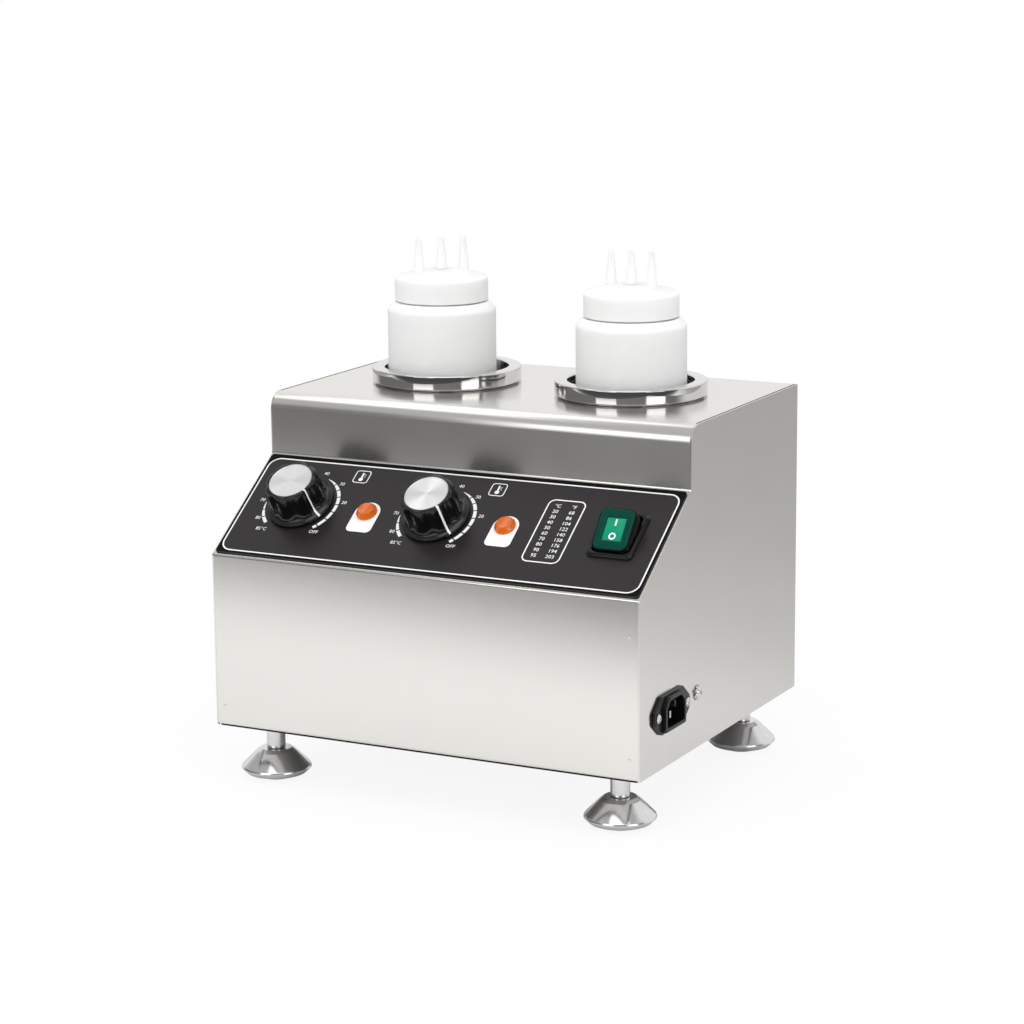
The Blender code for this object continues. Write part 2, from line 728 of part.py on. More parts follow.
def make_foot(name, x, y):
    """A polished bell that stands on the counter, and the stud that screws into the base."""
    profile = [
        (0, PAD_HEIGHT - STUD_SEAT),
        (STUD_RADIUS + HOLE_CLEARANCE, PAD_HEIGHT - STUD_SEAT),
        (STUD_RADIUS + HOLE_CLEARANCE, PAD_HEIGHT),
        (STEM_RADIUS, PAD_HEIGHT),
        *((PAD_RADIUS * across, PAD_HEIGHT * up) for across, up in PAD_CURVE_SHARES),
        (PAD_RADIUS * PAD_LIP_SHARE, PAD_SOLE_HEIGHT),
        (PAD_SOLE_RADIUS, PAD_SOLE_HEIGHT),
        (PAD_SOLE_RADIUS, 0),
        (0, 0),
    ]
    carrier = empty(f"foot_axis_{name}", (x, y, 0))
    pad = turned(f"foot_pad_{name}", profile, MEDIUM_SEGMENTS)
    finish(pad, POLISHED, carrier)
    stem_top = BASE + SHEET
    profile = [
        (0, BASE_PLATE_TOP + STUD_REACH),
        (STUD_RADIUS, BASE_PLATE_TOP + STUD_REACH),
        (STUD_RADIUS, stem_top),
        (STEM_RADIUS, stem_top),
        (STEM_RADIUS, PAD_HEIGHT + SEAM),
        (STUD_RADIUS, PAD_HEIGHT + SEAM),
        (STUD_RADIUS, PAD_HEIGHT - STUD_SEAT + SEAM),
        (0, PAD_HEIGHT - STUD_SEAT + SEAM),
    ]
    stud = turned(f"foot_stud_{name}", profile, SMALL_SEGMENTS)
    finish(stud, POLISHED, carrier)


def make_control_overlay():
    width = CASING_WIDTH - 2 * OVERLAY_MARGIN
    height = SLOPE_LENGTH - 2 * OVERLAY_MARGIN
    overlay = plate("control_overlay", rounded_rectangle(width, height, OVERLAY_CORNER), OVERLAY_THICKNESS)
    on_panel(overlay, CASING_WIDTH / 2, SLOPE_LENGTH / 2, SEAM)
    for hole, x, up_slope in panel_cutters("overlay", -OVERRUN, OVERRUN):
        cut(overlay, on_panel(hole, x, up_slope), PANEL)
    finish(overlay, BLACK_PRINT, PANEL)


def make_well(side):
    """A drawn pot hung by its lip, its collar, its band heater and its lagging."""
    axis = empty(f"well_axis_{side}", (WELL_X[side], WELL_Y, 0))
    pot = turned(
        f"well_pot_{side}",
        [
            (0, WELL_FLOOR),
            (WELL_RADIUS - WELL_FLOOR_RADIUS, WELL_FLOOR),
            (WELL_RADIUS, WELL_FLOOR + WELL_FLOOR_RADIUS),
            (WELL_RADIUS, LIP_TOP),
            (LIP_RADIUS, LIP_TOP),
            (LIP_RADIUS, LIP_TOP - WELL_WALL),
            (WELL_OUTER, LIP_TOP - WELL_WALL),
            (WELL_OUTER, WELL_FLOOR + WELL_FLOOR_RADIUS),
            (WELL_RADIUS - WELL_FLOOR_RADIUS, WELL_UNDERSIDE),
            (0, WELL_UNDERSIDE),
        ],
        LARGE_SEGMENTS,
    )
    finish(pot, STAINLESS, axis)
    bore = WELL_RADIUS + COLLAR_BORE_CLEARANCE
    outer = LIP_RADIUS + COLLAR_OVERHANG
    low = LIP_TOP + SEAM
    high = low + COLLAR_HEIGHT
    ring = [
        (bore, high - COLLAR_EDGE),
        (bore + COLLAR_EDGE, high),
        *rounded_edge(outer, high, COLLAR_EDGE),
        (outer, low),
        (bore, low),
    ]
    finish(turned(f"well_collar_{side}", ring, LARGE_SEGMENTS, closed=True), POLISHED, axis)
    low = WELL_FLOOR + HEATER_LIFT
    bore = WELL_OUTER + SEAM
    outer = bore + HEATER_THICKNESS
    high = low + HEATER_HEIGHT
    ring = [(bore, high), (outer, high), (outer, low), (bore, low)]
    band = turned(f"heater_band_{side}", ring, LARGE_SEGMENTS, closed=True)
    slit = box(
        f"heater_slit_{side}",
        (-HEATER_SLIT / 2, bore - OVERRUN, low - OVERRUN),
        (HEATER_SLIT / 2, outer + OVERRUN, high + OVERRUN),
    )
    cut(band, slit, axis)
    finish(band, MICA_STEEL, axis)
    middle = low + HEATER_HEIGHT / 2
    bore = outer + SEAM
    outer = bore + LAGGING_THICKNESS
    low = middle - LAGGING_HEIGHT / 2
    high = middle + LAGGING_HEIGHT / 2
    ring = [(bore, high), (outer, high), (outer, low), (bore, low)]
    finish(turned(f"lagging_{side}", ring, LARGE_SEGMENTS, closed=True), GREY_LAGGING, axis)


def make_bottle(side):
    """A squeeze bottle that stands in the well, and its cap with three nozzles in a row."""
    lean = (WELL_RADIUS - BOTTLE_RADIUS) * BOTTLE_LEAN_SHARES[side]
    foot = WELL_FLOOR + SEAM
    axis = empty(f"bottle_axis_{side}", (WELL_X[side] + lean, WELL_Y, foot))
    body = BOTTLE_BODY_HEIGHT + BOTTLE_EXTRA_HEIGHT[side]
    shoulder = body + SHOULDER_RISE
    neck = shoulder + NECK_HEIGHT
    inner = BOTTLE_RADIUS - BOTTLE_WALL
    bottle = turned(
        f"bottle_{side}",
        [
            (0, BOTTLE_WALL),
            (inner - BOTTLE_FOOT_RADIUS, BOTTLE_WALL),
            (inner, BOTTLE_WALL + BOTTLE_FOOT_RADIUS),
            (inner, body - BOTTLE_WALL),
            (NECK_RADIUS - BOTTLE_WALL, shoulder - BOTTLE_WALL),
            (NECK_RADIUS - BOTTLE_WALL, neck),
            (NECK_RADIUS, neck),
            (NECK_RADIUS, shoulder),
            (SHOULDER_RADIUS, shoulder),
            (BOTTLE_RADIUS, body),
            (BOTTLE_RADIUS, BOTTLE_FOOT_RADIUS),
            (BOTTLE_RADIUS - BOTTLE_FOOT_RADIUS, 0),
            (0, 0),
        ],
        LARGE_SEGMENTS,
    )
    finish(bottle, MILKY_PLASTIC, axis)
    under = neck + SEAM
    rim = under + CAP_WALL
    skirt = shoulder + CAP_SKIRT_GAP
    dome = [(NOZZLE_PITCH * across, CAP_DOME_RISE * up) for across, up in CAP_DOME_SHARES]
    cap = turned(
        f"bottle_cap_{side}",
        [
            (0, rim + CAP_DOME_RISE),
            *((radius, rim + rise) for radius, rise in dome),
            *rounded_edge(CAP_RADIUS, rim, CAP_EDGE),
            (CAP_RADIUS, skirt),
            (CAP_RADIUS - CAP_WALL, skirt),
            (CAP_RADIUS - CAP_WALL, under - CAP_EDGE),
            (NECK_RADIUS, under),
            *((radius, under + rise) for radius, rise in reversed(dome)),
            (0, under + CAP_DOME_RISE),
        ],
        LARGE_SEGMENTS,
    )
    row = math.radians(NOZZLE_ROW_DEG[side])
    tip = rim + NOZZLE_HEIGHT
    for index in (-1, 0, 1):
        place = (index * NOZZLE_PITCH * math.cos(row), index * NOZZLE_PITCH * math.sin(row), 0)
        rise = CAP_DOME_RISE * NOZZLE_ROOT_SHARE if index else CAP_DOME_RISE + CAP_WALL / 2
        root = under + rise
        nozzle = rod(
            f"nozzle_{side}_{index + 1}", NOZZLE_BASE_RADIUS, root, tip, TINY_SEGMENTS, NOZZLE_TIP_RADIUS
        )
        nozzle.location = place
        join(cap, nozzle, axis)
    for index in (-1, 0, 1):
        place = (index * NOZZLE_PITCH * math.cos(row), index * NOZZLE_PITCH * math.sin(row), 0)
        bore = rod(
            f"nozzle_bore_{side}_{index + 1}",
            NOZZLE_BASE_RADIUS * NOZZLE_BORE_SHARE,
            under - OVERRUN,
            tip + OVERRUN,
            BORE_SEGMENTS,
            NOZZLE_TIP_RADIUS * NOZZLE_BORE_SHARE,
        )
        bore.location = place
        cut(cap, bore, axis)
    finish(cap, MILKY_PLASTIC, axis)


def make_thermostat(side):
    """The capillary thermostat behind the panel, its shaft, and its bulb under the pot."""
    x = KNOB_X[side]
    back = -SHEET - SEAM
    body = box(
        f"thermostat_body_{side}",
        (-THERMOSTAT_WIDTH / 2, -THERMOSTAT_HEIGHT / 2, back - THERMOSTAT_DEPTH),
        (THERMOSTAT_WIDTH / 2, THERMOSTAT_HEIGHT / 2, back),
    )
    on_panel(body, x, KNOB_UP_SLOPE)
    bush = rod(f"thermostat_bush_{side}", BUSH_RADIUS, back - SHEET, PANEL_TOP + BUSH_PROUD, SMALL_SEGMENTS)
    join(body, on_panel(bush, x, KNOB_UP_SLOPE), PANEL)
    bore = rod(
        f"thermostat_bore_{side}",
        SHAFT_RADIUS + SEAM,
        back - SHAFT_DEPTH - SEAM,
        PANEL_TOP + BUSH_PROUD + OVERRUN,
        SMALL_SEGMENTS,
    )
    cut(body, on_panel(bore, x, KNOB_UP_SLOPE), PANEL)
    finish(body, CREAM_PLASTIC, PANEL)
    low = back - SHAFT_DEPTH
    shaft = rod(f"thermostat_shaft_{side}", SHAFT_RADIUS, low, PANEL_TOP + SHAFT_REACH, SMALL_SEGMENTS)
    on_panel(shaft, x, KNOB_UP_SLOPE)
    finish(shaft, ALUMINIUM, PANEL)
    make_thermostat_bulb(side)


def make_thermostat_bulb(side):
    bpy.context.view_layer.update()
    back = -SHEET - SEAM - THERMOSTAT_DEPTH - SEAM
    start = PANEL.matrix_world @ Vector((KNOB_X[side], KNOB_UP_SLOPE, back))
    out = PANEL.matrix_world.to_3x3() @ Vector((0, 0, -1))
    centre_z = WELL_UNDERSIDE - SEAM - BULB_RADIUS
    bulb_end = Vector((WELL_X[side], WELL_Y - BULB_LENGTH / 2, centre_z))
    across = start.x + (bulb_end.x - start.x) * CAPILLARY_BEND_SHARE
    places = [
        start,
        start + out * CAPILLARY_BEND / 2,
        Vector((across, start.y + CAPILLARY_BEND, centre_z + BULB_RADIUS)),
        Vector((bulb_end.x, bulb_end.y - CAPILLARY_BEND, centre_z)),
        bulb_end + Vector((0, BULB_RADIUS, 0)),
    ]
    bulb = tube(f"thermostat_bulb_{side}", smooth_route(places), CAPILLARY_RADIUS)
    probe = rod(f"bulb_probe_{side}", BULB_RADIUS, -BULB_LENGTH / 2, BULB_LENGTH / 2, TINY_SEGMENTS)
    probe.rotation_euler = (math.pi / 2, 0, 0)
    probe.location = (WELL_X[side], WELL_Y, centre_z)
    join(bulb, probe)
    finish(bulb, BRASS)


def make_knob(side):
    """A fluted knob with a flared skirt, and the bright disc let into its top."""
    axis = empty(f"knob_axis_{side}", (KNOB_X[side], KNOB_UP_SLOPE, PANEL_TOP + KNOB_LIFT))
    axis.parent = PANEL
    recess = DISC_THICKNESS + SEAM
    hub = SHAFT_RADIUS + SEAM
    mouth = BUSH_RADIUS + HOLE_CLEARANCE
    shaft_end = SHAFT_REACH - KNOB_LIFT + SEAM
    body_foot = KNOB_SKIRT_HEIGHT + KNOB_FOOT_RISE
    knob = turned(
        f"knob_{side}",
        [
            (0, KNOB_HEIGHT - recess),
            (DISC_RADIUS + SEAM, KNOB_HEIGHT - recess),
            (DISC_RADIUS + SEAM, KNOB_HEIGHT),
            *rounded_edge(KNOB_TOP_RADIUS, KNOB_HEIGHT, KNOB_EDGE, 1),
            (KNOB_BODY_RADIUS, body_foot + KNOB_EDGE),
            (KNOB_BODY_RADIUS + KNOB_EDGE, body_foot),
            *rounded_edge(KNOB_SKIRT_RADIUS, KNOB_SKIRT_HEIGHT, KNOB_EDGE, 1),
            (KNOB_SKIRT_RADIUS, 0),
            (mouth, 0),
            (mouth, BUSH_PROUD + SEAM),
            (hub, BUSH_PROUD + SEAM),
            (hub, shaft_end),
            (0, shaft_end),
        ],
        MEDIUM_SEGMENTS,
    )
    for flute in range(KNOB_FLUTES):
        angle = 2 * math.pi * (flute + 0.5) / KNOB_FLUTES
        reach = KNOB_BODY_RADIUS - KNOB_FLUTE_DEPTH + KNOB_FLUTE_RADIUS
        groove = rod(
            f"knob_flute_{side}_{flute}",
            KNOB_FLUTE_RADIUS,
            body_foot + KNOB_EDGE,
            KNOB_HEIGHT + OVERRUN,
            SMALL_SEGMENTS,
        )
        groove.location = (reach * math.cos(angle), reach * math.sin(angle), 0)
        cut(knob, groove, axis)
    finish(knob, BLACK_PLASTIC, axis)
    disc = rod(f"knob_disc_{side}", DISC_RADIUS, KNOB_HEIGHT - DISC_THICKNESS, KNOB_HEIGHT, MEDIUM_SEGMENTS)
    finish(disc, ALUMINIUM, axis)


def make_lamp(side):
    x = KNOB_X[side] + LAMP_FROM_KNOB
    lens = turned(
        f"lamp_lens_{side}",
        [
            (0, LENS_HEIGHT),
            (LENS_FACE_RADIUS, LENS_HEIGHT),
            (LENS_RADIUS, LENS_RIM),
            (LENS_RADIUS, 0),
            (0, 0),
        ],
        LENS_FACETS,
    )
    on_panel(lens, x, LAMP_UP_SLOPE, PANEL_TOP + SEAM)
    finish(lens, AMBER, PANEL)
    body = rod(f"lamp_body_{side}", LAMP_BODY_RADIUS, -LAMP_BODY_LENGTH, PANEL_TOP, SMALL_SEGMENTS)
    on_panel(body, x, LAMP_UP_SLOPE)
    finish(body, BLACK_PLASTIC, PANEL)


def make_switch():
    """The switch's frame and body, its rocker, and the cap over the rocker, which tilts with it."""
    low = PANEL_TOP + SEAM
    body = plate("switch_body", rounded_rectangle(BEZEL_WIDTH, BEZEL_HEIGHT, BEZEL_CORNER), BEZEL_THICKNESS)
    on_panel(body, SWITCH_X, SWITCH_UP_SLOPE, low)
    barrel = box(
        "switch_barrel",
        (-SWITCH_BODY_WIDTH / 2, -SWITCH_BODY_HEIGHT / 2, -SWITCH_BODY_DEPTH),
        (SWITCH_BODY_WIDTH / 2, SWITCH_BODY_HEIGHT / 2, low + BEZEL_THICKNESS / 2),
    )
    join(body, on_panel(barrel, SWITCH_X, SWITCH_UP_SLOPE), PANEL)
    top = low + BEZEL_THICKNESS
    pocket = box(
        "switch_pocket",
        (-POCKET_WIDTH / 2, -POCKET_HEIGHT / 2, top - POCKET_DEPTH),
        (POCKET_WIDTH / 2, POCKET_HEIGHT / 2, top + OVERRUN),
    )
    cut(body, on_panel(pocket, SWITCH_X, SWITCH_UP_SLOPE), PANEL)
    finish(body, BLACK_PLASTIC, PANEL)
    axis = empty("rocker_axis", (SWITCH_X, SWITCH_UP_SLOPE, top - SEAM), (ROCKER_TILT, 0, 0))
    axis.parent = PANEL
    make_rocker(axis)
    make_switch_cover(axis)


def make_rocker(axis):
    """The block under the cap, tilted on the switch's axis so that its lower end is pressed."""
    rocker = box(
        "switch_rocker",
        (-ROCKER_WIDTH / 2, -ROCKER_LENGTH / 2, -ROCKER_SKIRT),
        (ROCKER_WIDTH / 2, ROCKER_LENGTH / 2, COVER_RISE - COVER_WALL - SEAM),
    )
    finish(rocker, GREEN, axis)


def make_switch_cover(axis):
    """The cap, open below, that covers the rocker and reaches down into the switch's body."""
    outline = rounded_rectangle(COVER_WIDTH, COVER_HEIGHT, COVER_CORNER)
    cover = plate("switch_cover", outline, COVER_DROP + COVER_RISE)
    cover.location = (0, 0, -COVER_DROP)
    wall = COVER_WALL * 2
    inside = plate(
        "cover_hollow",
        rounded_rectangle(COVER_WIDTH - wall, COVER_HEIGHT - wall, COVER_CORNER - COVER_WALL),
        COVER_DROP + COVER_RISE - COVER_WALL + OVERRUN,
    )
    inside.location = (0, 0, -COVER_DROP - OVERRUN)
    cut(cover, inside, axis)
    finish(cover, CLEAR_PLASTIC, axis)


def inlet_outline(width, height, chamfer):
    """A rectangle whose two upper corners are cut off."""
    x = width / 2
    y = height / 2
    return [(-x, -y), (x, -y), (x, y - chamfer), (x - chamfer, y), (chamfer - x, y), (-x, y - chamfer)]


def make_inlet():
    """The mains inlet: flange with ears, raised rim, open socket and three pins."""
    ear = INLET_FLANGE_LENGTH / 2
    waist = INLET_RIM_WIDTH / 2
    half = INLET_FLANGE_HEIGHT / 2
    tip = half / 2
    outline = [
        (-ear, -tip), (-waist, -half), (waist, -half), (ear, -tip),
        (ear, tip), (waist, half), (-waist, half), (-ear, tip),
    ]
    body = plate("inlet_body", outline, INLET_FLANGE_THICKNESS)
    body.location = (0, 0, SEAM)
    outline = inlet_outline(INLET_RIM_WIDTH, INLET_RIM_HEIGHT, INLET_CHAMFER)
    shell = plate("inlet_shell", outline, INLET_PROUD + INLET_DEPTH)
    shell.location = (0, 0, -INLET_DEPTH)
    join(body, shell, INLET)
    wall = INLET_WALL * 2
    socket = plate(
        "inlet_socket",
        inlet_outline(INLET_RIM_WIDTH - wall, INLET_RIM_HEIGHT - wall, INLET_CHAMFER - INLET_WALL / 2),
        INLET_PROUD + INLET_DEPTH,
    )
    socket.location = (0, 0, INLET_FLOOR - INLET_DEPTH)
    cut(body, socket, INLET)
    finish(body, BLACK_PLASTIC, INLET)
    floor = INLET_FLOOR - INLET_DEPTH + SEAM
    places = {
        "live": (-PIN_SPREAD, PIN_OFFSET),
        "neutral": (PIN_SPREAD, PIN_OFFSET),
        "earth": (0, -PIN_OFFSET),
    }
    for name, (x, y) in places.items():
        pin = box(
            f"inlet_pin_{name}",
            (-PIN_THICKNESS / 2, -PIN_HEIGHT / 2, 0),
            (PIN_THICKNESS / 2, PIN_HEIGHT / 2, PIN_LENGTH),
        )
        pin.location = (x, y, floor)
        finish(pin, ALUMINIUM, INLET)
    for end, x in (("front", -INLET_SCREW_PITCH / 2), ("rear", INLET_SCREW_PITCH / 2)):
        hole = rod(f"flange_hole_{end}", INLET_SCREW_RADIUS + SEAM, -OVERRUN, OVERRUN, TINY_SEGMENTS)
        hole.location = (x, 0, 0)
        cut(body, hole, INLET)
        seat = SEAM + INLET_FLANGE_THICKNESS + SEAM
        profile = screw_profile(
            INLET_SCREW_HEAD_RADIUS, INLET_SCREW_HEAD, INLET_SCREW_RADIUS, seat, INLET_SCREW_LENGTH
        )
        screw = turned(f"inlet_screw_{end}", profile, TINY_SEGMENTS)
        screw.location = (x, 0, 0)
        finish(screw, POLISHED, INLET)


def make_earth_screw():
    """A screw with its toothed washer, for the earth wire's tag."""
    seat = SEAM + EARTH_WASHER
    profile = [
        (0, seat + EARTH_HEAD),
        (EARTH_HEAD_RADIUS * SCREW_FACE_SHARE, seat + EARTH_HEAD),
        (EARTH_HEAD_RADIUS, seat + EARTH_HEAD / 2),
        (EARTH_HEAD_RADIUS, seat - EARTH_WASHER / 2),
        (EARTH_SCREW_RADIUS, seat - EARTH_WASHER / 2),
        (EARTH_SCREW_RADIUS, -EARTH_SCREW_LENGTH),
        (0, -EARTH_SCREW_LENGTH),
    ]
    screw = turned("earth_screw", profile, TINY_SEGMENTS)
    place = (EARTH_BEHIND_INLET, EARTH_ABOVE_BASE - INLET_ABOVE_BASE, 0)
    outline = []
    for tooth in range(EARTH_TEETH * 2):
        angle = math.pi * (tooth + 0.5) / EARTH_TEETH
        reach = EARTH_WASHER_RADIUS if tooth % 2 else EARTH_TOOTH_ROOT
        outline.append((reach * math.cos(angle), reach * math.sin(angle)))
    washer = plate("earth_washer", outline, EARTH_WASHER)
    washer.location = (place[0], place[1], SEAM)
    screw.location = place
    join(screw, washer, INLET)
    finish(screw, POLISHED, INLET)


def make_terminal_block():
    y = FRONT + FASCIA_SETBACK
    low = BASE_PLATE_TOP + SEAM
    block = box(
        "terminal_block",
        (MIDDLE - TERMINAL_LENGTH / 2, y - TERMINAL_WIDTH / 2, low),
        (MIDDLE + TERMINAL_LENGTH / 2, y + TERMINAL_WIDTH / 2, low + TERMINAL_HEIGHT),
    )
    for way in range(TERMINAL_WAYS):
        well = rod(
            f"terminal_screw_well_{way}", TERMINAL_SCREW_RADIUS, -TERMINAL_SCREW_DEPTH, OVERRUN, TINY_SEGMENTS
        )
        well.location = (terminal_x(way), y, low + TERMINAL_HEIGHT)
        cut(block, well)
    finish(block, CREAM_PLASTIC)


def terminal_x(way):
    return MIDDLE + (way - (TERMINAL_WAYS - 1) / 2) * TERMINAL_LENGTH / TERMINAL_WAYS


def make_wires():
    """Leads from the inlet and the heaters to the terminal block, the switch and the earth screw."""
    bpy.context.view_layer.update()
    behind = -INLET_DEPTH - SEAM
    inward = Vector((-1, 0, 0))
    live_back = INLET.matrix_world @ Vector((-PIN_SPREAD, PIN_OFFSET, behind))
    neutral_back = INLET.matrix_world @ Vector((PIN_SPREAD, PIN_OFFSET, behind))
    earth_back = INLET.matrix_world @ Vector((0, -PIN_OFFSET, behind))
    earth_end = Vector((RIGHT, FRONT + INLET_FROM_FRONT + EARTH_BEHIND_INLET, BASE + EARTH_ABOVE_BASE))
    block_z = BASE_PLATE_TOP + SEAM + TERMINAL_HEIGHT / 2
    rear_face = FRONT + FASCIA_SETBACK + TERMINAL_WIDTH / 2 + SEAM
    lead = TERMINAL_HEIGHT
    switch_back = PANEL.matrix_world @ Vector((SWITCH_X, SWITCH_UP_SLOPE, -SWITCH_BODY_DEPTH - SEAM))
    out = PANEL.matrix_world.to_3x3() @ Vector((0, 0, -1))
    routes = {
        "wire_live": (BROWN_WIRE, [
            live_back,
            live_back + inward * lead / 2,
            Vector((switch_back.x, live_back.y, (live_back.z + switch_back.z) / 2)) + inward * lead,
            switch_back + out * lead,
            switch_back,
        ]),
        "wire_neutral": (BLUE_WIRE, [
            neutral_back,
            neutral_back + inward * lead / 2,
            Vector((terminal_x(3) + lead * 2, rear_face + lead * 2, block_z + lead)),
            Vector((terminal_x(3), rear_face + lead, block_z)),
            Vector((terminal_x(3), rear_face, block_z)),
        ]),
        "wire_earth": (EARTH_WIRE, [
            earth_back,
            earth_back + inward * lead,
            earth_end + inward * lead * 2,
            earth_end + inward * (EARTH_SCREW_LENGTH + SEAM),
        ]),
    }
    for side, way in (("left", 0), ("right", 2)):
        heater_outer = WELL_OUTER + SEAM + HEATER_THICKNESS / 2
        heater_low = WELL_FLOOR + HEATER_LIFT - SEAM
        reach = heater_outer / math.sqrt(2)
        towards = 1 if side == "left" else -1
        start = Vector((WELL_X[side] + towards * reach, WELL_Y - reach, heater_low))
        routes[f"heater_lead_{side}"] = (RED_WIRE, [
            start,
            start - Vector((0, 0, LAGGING_HEIGHT / 4)),
            start - Vector((0, 0, LAGGING_HEIGHT / 2)),
            Vector((terminal_x(way), rear_face + lead * 2, block_z + lead)),
            Vector((terminal_x(way), rear_face + lead, block_z)),
            Vector((terminal_x(way), rear_face, block_z)),
        ])
    for name, (look, places) in routes.items():
        finish(tube(name, smooth_route(places), WIRE_RADIUS), look)


clear_scene()
PARTS = collection("topping_warmer")
GUIDES = collection("cutters")
PANEL = empty("panel_frame", (LEFT, FRONT, BASE + FRONT_HEIGHT), (SLOPE, 0, 0))
INLET = inlet_frame()
make_front_top_wrap()
for each_side in SIDES:
    make_side_panel(each_side)
make_rear_panel()
make_base_plate()
make_control_overlay()
for each_side in SIDES:
    make_well(each_side)
    make_bottle(each_side)
    make_thermostat(each_side)
    make_knob(each_side)
    make_lamp(each_side)
make_switch()
make_inlet()
make_earth_screw()
make_terminal_block()
make_wires()
for foot_name, (foot_x, foot_y) in foot_places().items():
    make_foot(foot_name, foot_x, foot_y)
bpy.context.view_layer.update()
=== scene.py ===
import json
import math

import bmesh
import bpy
from mathutils import Matrix, Vector


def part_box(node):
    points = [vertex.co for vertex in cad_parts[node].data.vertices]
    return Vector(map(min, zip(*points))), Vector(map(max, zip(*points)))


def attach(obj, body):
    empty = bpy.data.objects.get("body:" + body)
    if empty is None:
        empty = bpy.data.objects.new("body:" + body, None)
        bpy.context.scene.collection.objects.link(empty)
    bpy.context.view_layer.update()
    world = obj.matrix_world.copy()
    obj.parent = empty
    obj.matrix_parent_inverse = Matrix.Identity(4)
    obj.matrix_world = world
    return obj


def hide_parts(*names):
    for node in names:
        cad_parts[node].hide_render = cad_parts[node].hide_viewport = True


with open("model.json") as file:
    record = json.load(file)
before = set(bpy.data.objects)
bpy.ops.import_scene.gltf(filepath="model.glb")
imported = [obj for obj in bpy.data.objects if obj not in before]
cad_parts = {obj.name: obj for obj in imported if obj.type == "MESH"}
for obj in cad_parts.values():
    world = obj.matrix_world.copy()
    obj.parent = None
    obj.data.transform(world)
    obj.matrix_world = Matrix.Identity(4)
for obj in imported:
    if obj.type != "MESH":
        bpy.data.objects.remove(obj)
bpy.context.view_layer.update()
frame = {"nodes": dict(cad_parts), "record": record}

# Lengths are in millimetres, and turned to metres when a shape becomes an object
MM = 0.001
SIDES = ("left", "right")
FEET = ("front_left", "front_right", "rear_left", "rear_right")

# Facets of round and rounded shapes
ROUND = 96
SMALL_ROUND = 40
CORNER_STEPS = 6
LETTER_STEPS = 2
EASED_STEPS = 2
SHARP_DEG = 38
FACET_DEG = 15

# Casing of folded sheet, its weld marks as corners of (radius, height, rounding), and its black strips of
# painted shade
SHEET = 1.0
SEAM = 0.3
WRAP_SEAM = 0.05
# Black strips of painted shade on the top's two seams, as (width, height proud of the top)
TOP_SEAM_SHADE = (0.9, 0.06)
PANEL_FOOT = 105.0
PANEL_RISE = 49.0
PANEL_RUN = 70.0
CASING_DEPTH = 230.0
CASING_HEIGHT = 191.5
FRONT_FLANGE = 12.0
FOLD_RADIUS = 2.4
TOP_BEND = 10.0
WELL_HOLE = 39.3
CUT_REACH = 4.0
WELD_MARKS = ((6, 12), (274, 12), (6, 83), (274, 83))
WELD_MARK = ((0, 0.02, 0), (0.6, 0.03, 0.1), (1.0, 0.06, 0.1), (1.25, 0, 0), (0, 0, 0))
# The black strip of painted shade under the casing's lower edge: its height, width and inset
EDGE_SHADE_HEIGHT = 0.4
EDGE_SHADE_WIDTH = 2.0
EDGE_SHADE_INSET = 1.0
EASED_EDGE = 0.25
EASED_NODES = ("left_side_panel", "right_side_panel")

# Control panel, as distances from the casing's left and up the slope
KNOB_ACROSS = {"left": 40.2, "right": 132.2}
KNOB_UP = 45.5
LAMP_FROM_KNOB = 46.1
LAMP_UP = 44.0
SWITCH_PLACE = (250.0, 45.0)
SHAFT_HOLE = 5.0
LAMP_HOLE = 5.2
SWITCH_HOLE = (26.1, 32.7, 0.5)
FILM_TOP = 0.8
INK = 0.04
INK_LIFT = 0.03

# Collars, bottles and caps, as corners of (radius, height, rounding)
COLLAR = ((38.4, 0, 0.3), (46.3, 0, 0.3), (46.3, 8.4, 0.8), (38.4, 8.4, 0.9))
BOTTLE_INSIDE = ((0, 1.3, 0), (32.2, 1.3, 3.0))
BOTTLE_NECK = (
    (32.2, -19.3, 3.0), (24.7, -14.8, 1.0), (24.7, 0, 0), (26.0, 0, 0.4), (26.0, -13.5, 0.3),
    (29.2, -13.5, 1.0), (33.5, -17.6, 4.0),
)
BOTTLE_FOOT = ((33.5, 0, 4.0), (0, 0, 0))
CAP = (
    (0, 5.1, 0), (14.5, 3.2, 8.0), (26.0, 0.3, 1.0), (27.3, -1.2, 1.0), (27.3, -12.7, 0.3),
    (28.8, -12.7, 0.4), (28.8, 1.8, 2.2), (14.5, 5.4, 10.0), (0, 6.6, 0),
)
NOZZLE = ((0, 0, 0), (4.8, 0.4, 0), (3.5, 1.4, 1.2), (3.1, 5.0, 3.0), (1.6, 22.0, 0.5), (0, 22.0, 0))
NOZZLE_ROOTS = {-1: 3.6, 0: 6.0, 1: 3.6}
NOZZLE_PITCH = 14.5
NOZZLE_ROW_DEG = {"left": 47.0, "right": -8.0}
NOZZLE_BORE = 0.75
BORE_MOUTH = 1.5
BORE_DEPTH = 6.0
BORE_OVERRUN = 1.0

# Feet, as corners of (radius, height, rounding)
PAD = (
    (0, 8.0, 0), (4.4, 8.0, 0), (4.4, 18.0, 0.2), (9.6, 18.0, 0.8), (11.9, 16.2, 1.2), (20.8, 7.2, 1.0),
    (21.3, 6.0, 0.5), (18.0, 2.7, 1.0), (10.0, 2.7, 0.3), (10.0, 0, 0.3), (0, 0, 0),
)
STUD = (
    (0, 8.3, 0), (4.0, 8.3, 0), (4.0, 18.3, 0), (5.7, 18.3, 0.3), (5.7, 37.0, 0.3), (4.0, 37.0, 0),
    (4.0, 58.3, 0.6), (0, 58.3, 0),
)

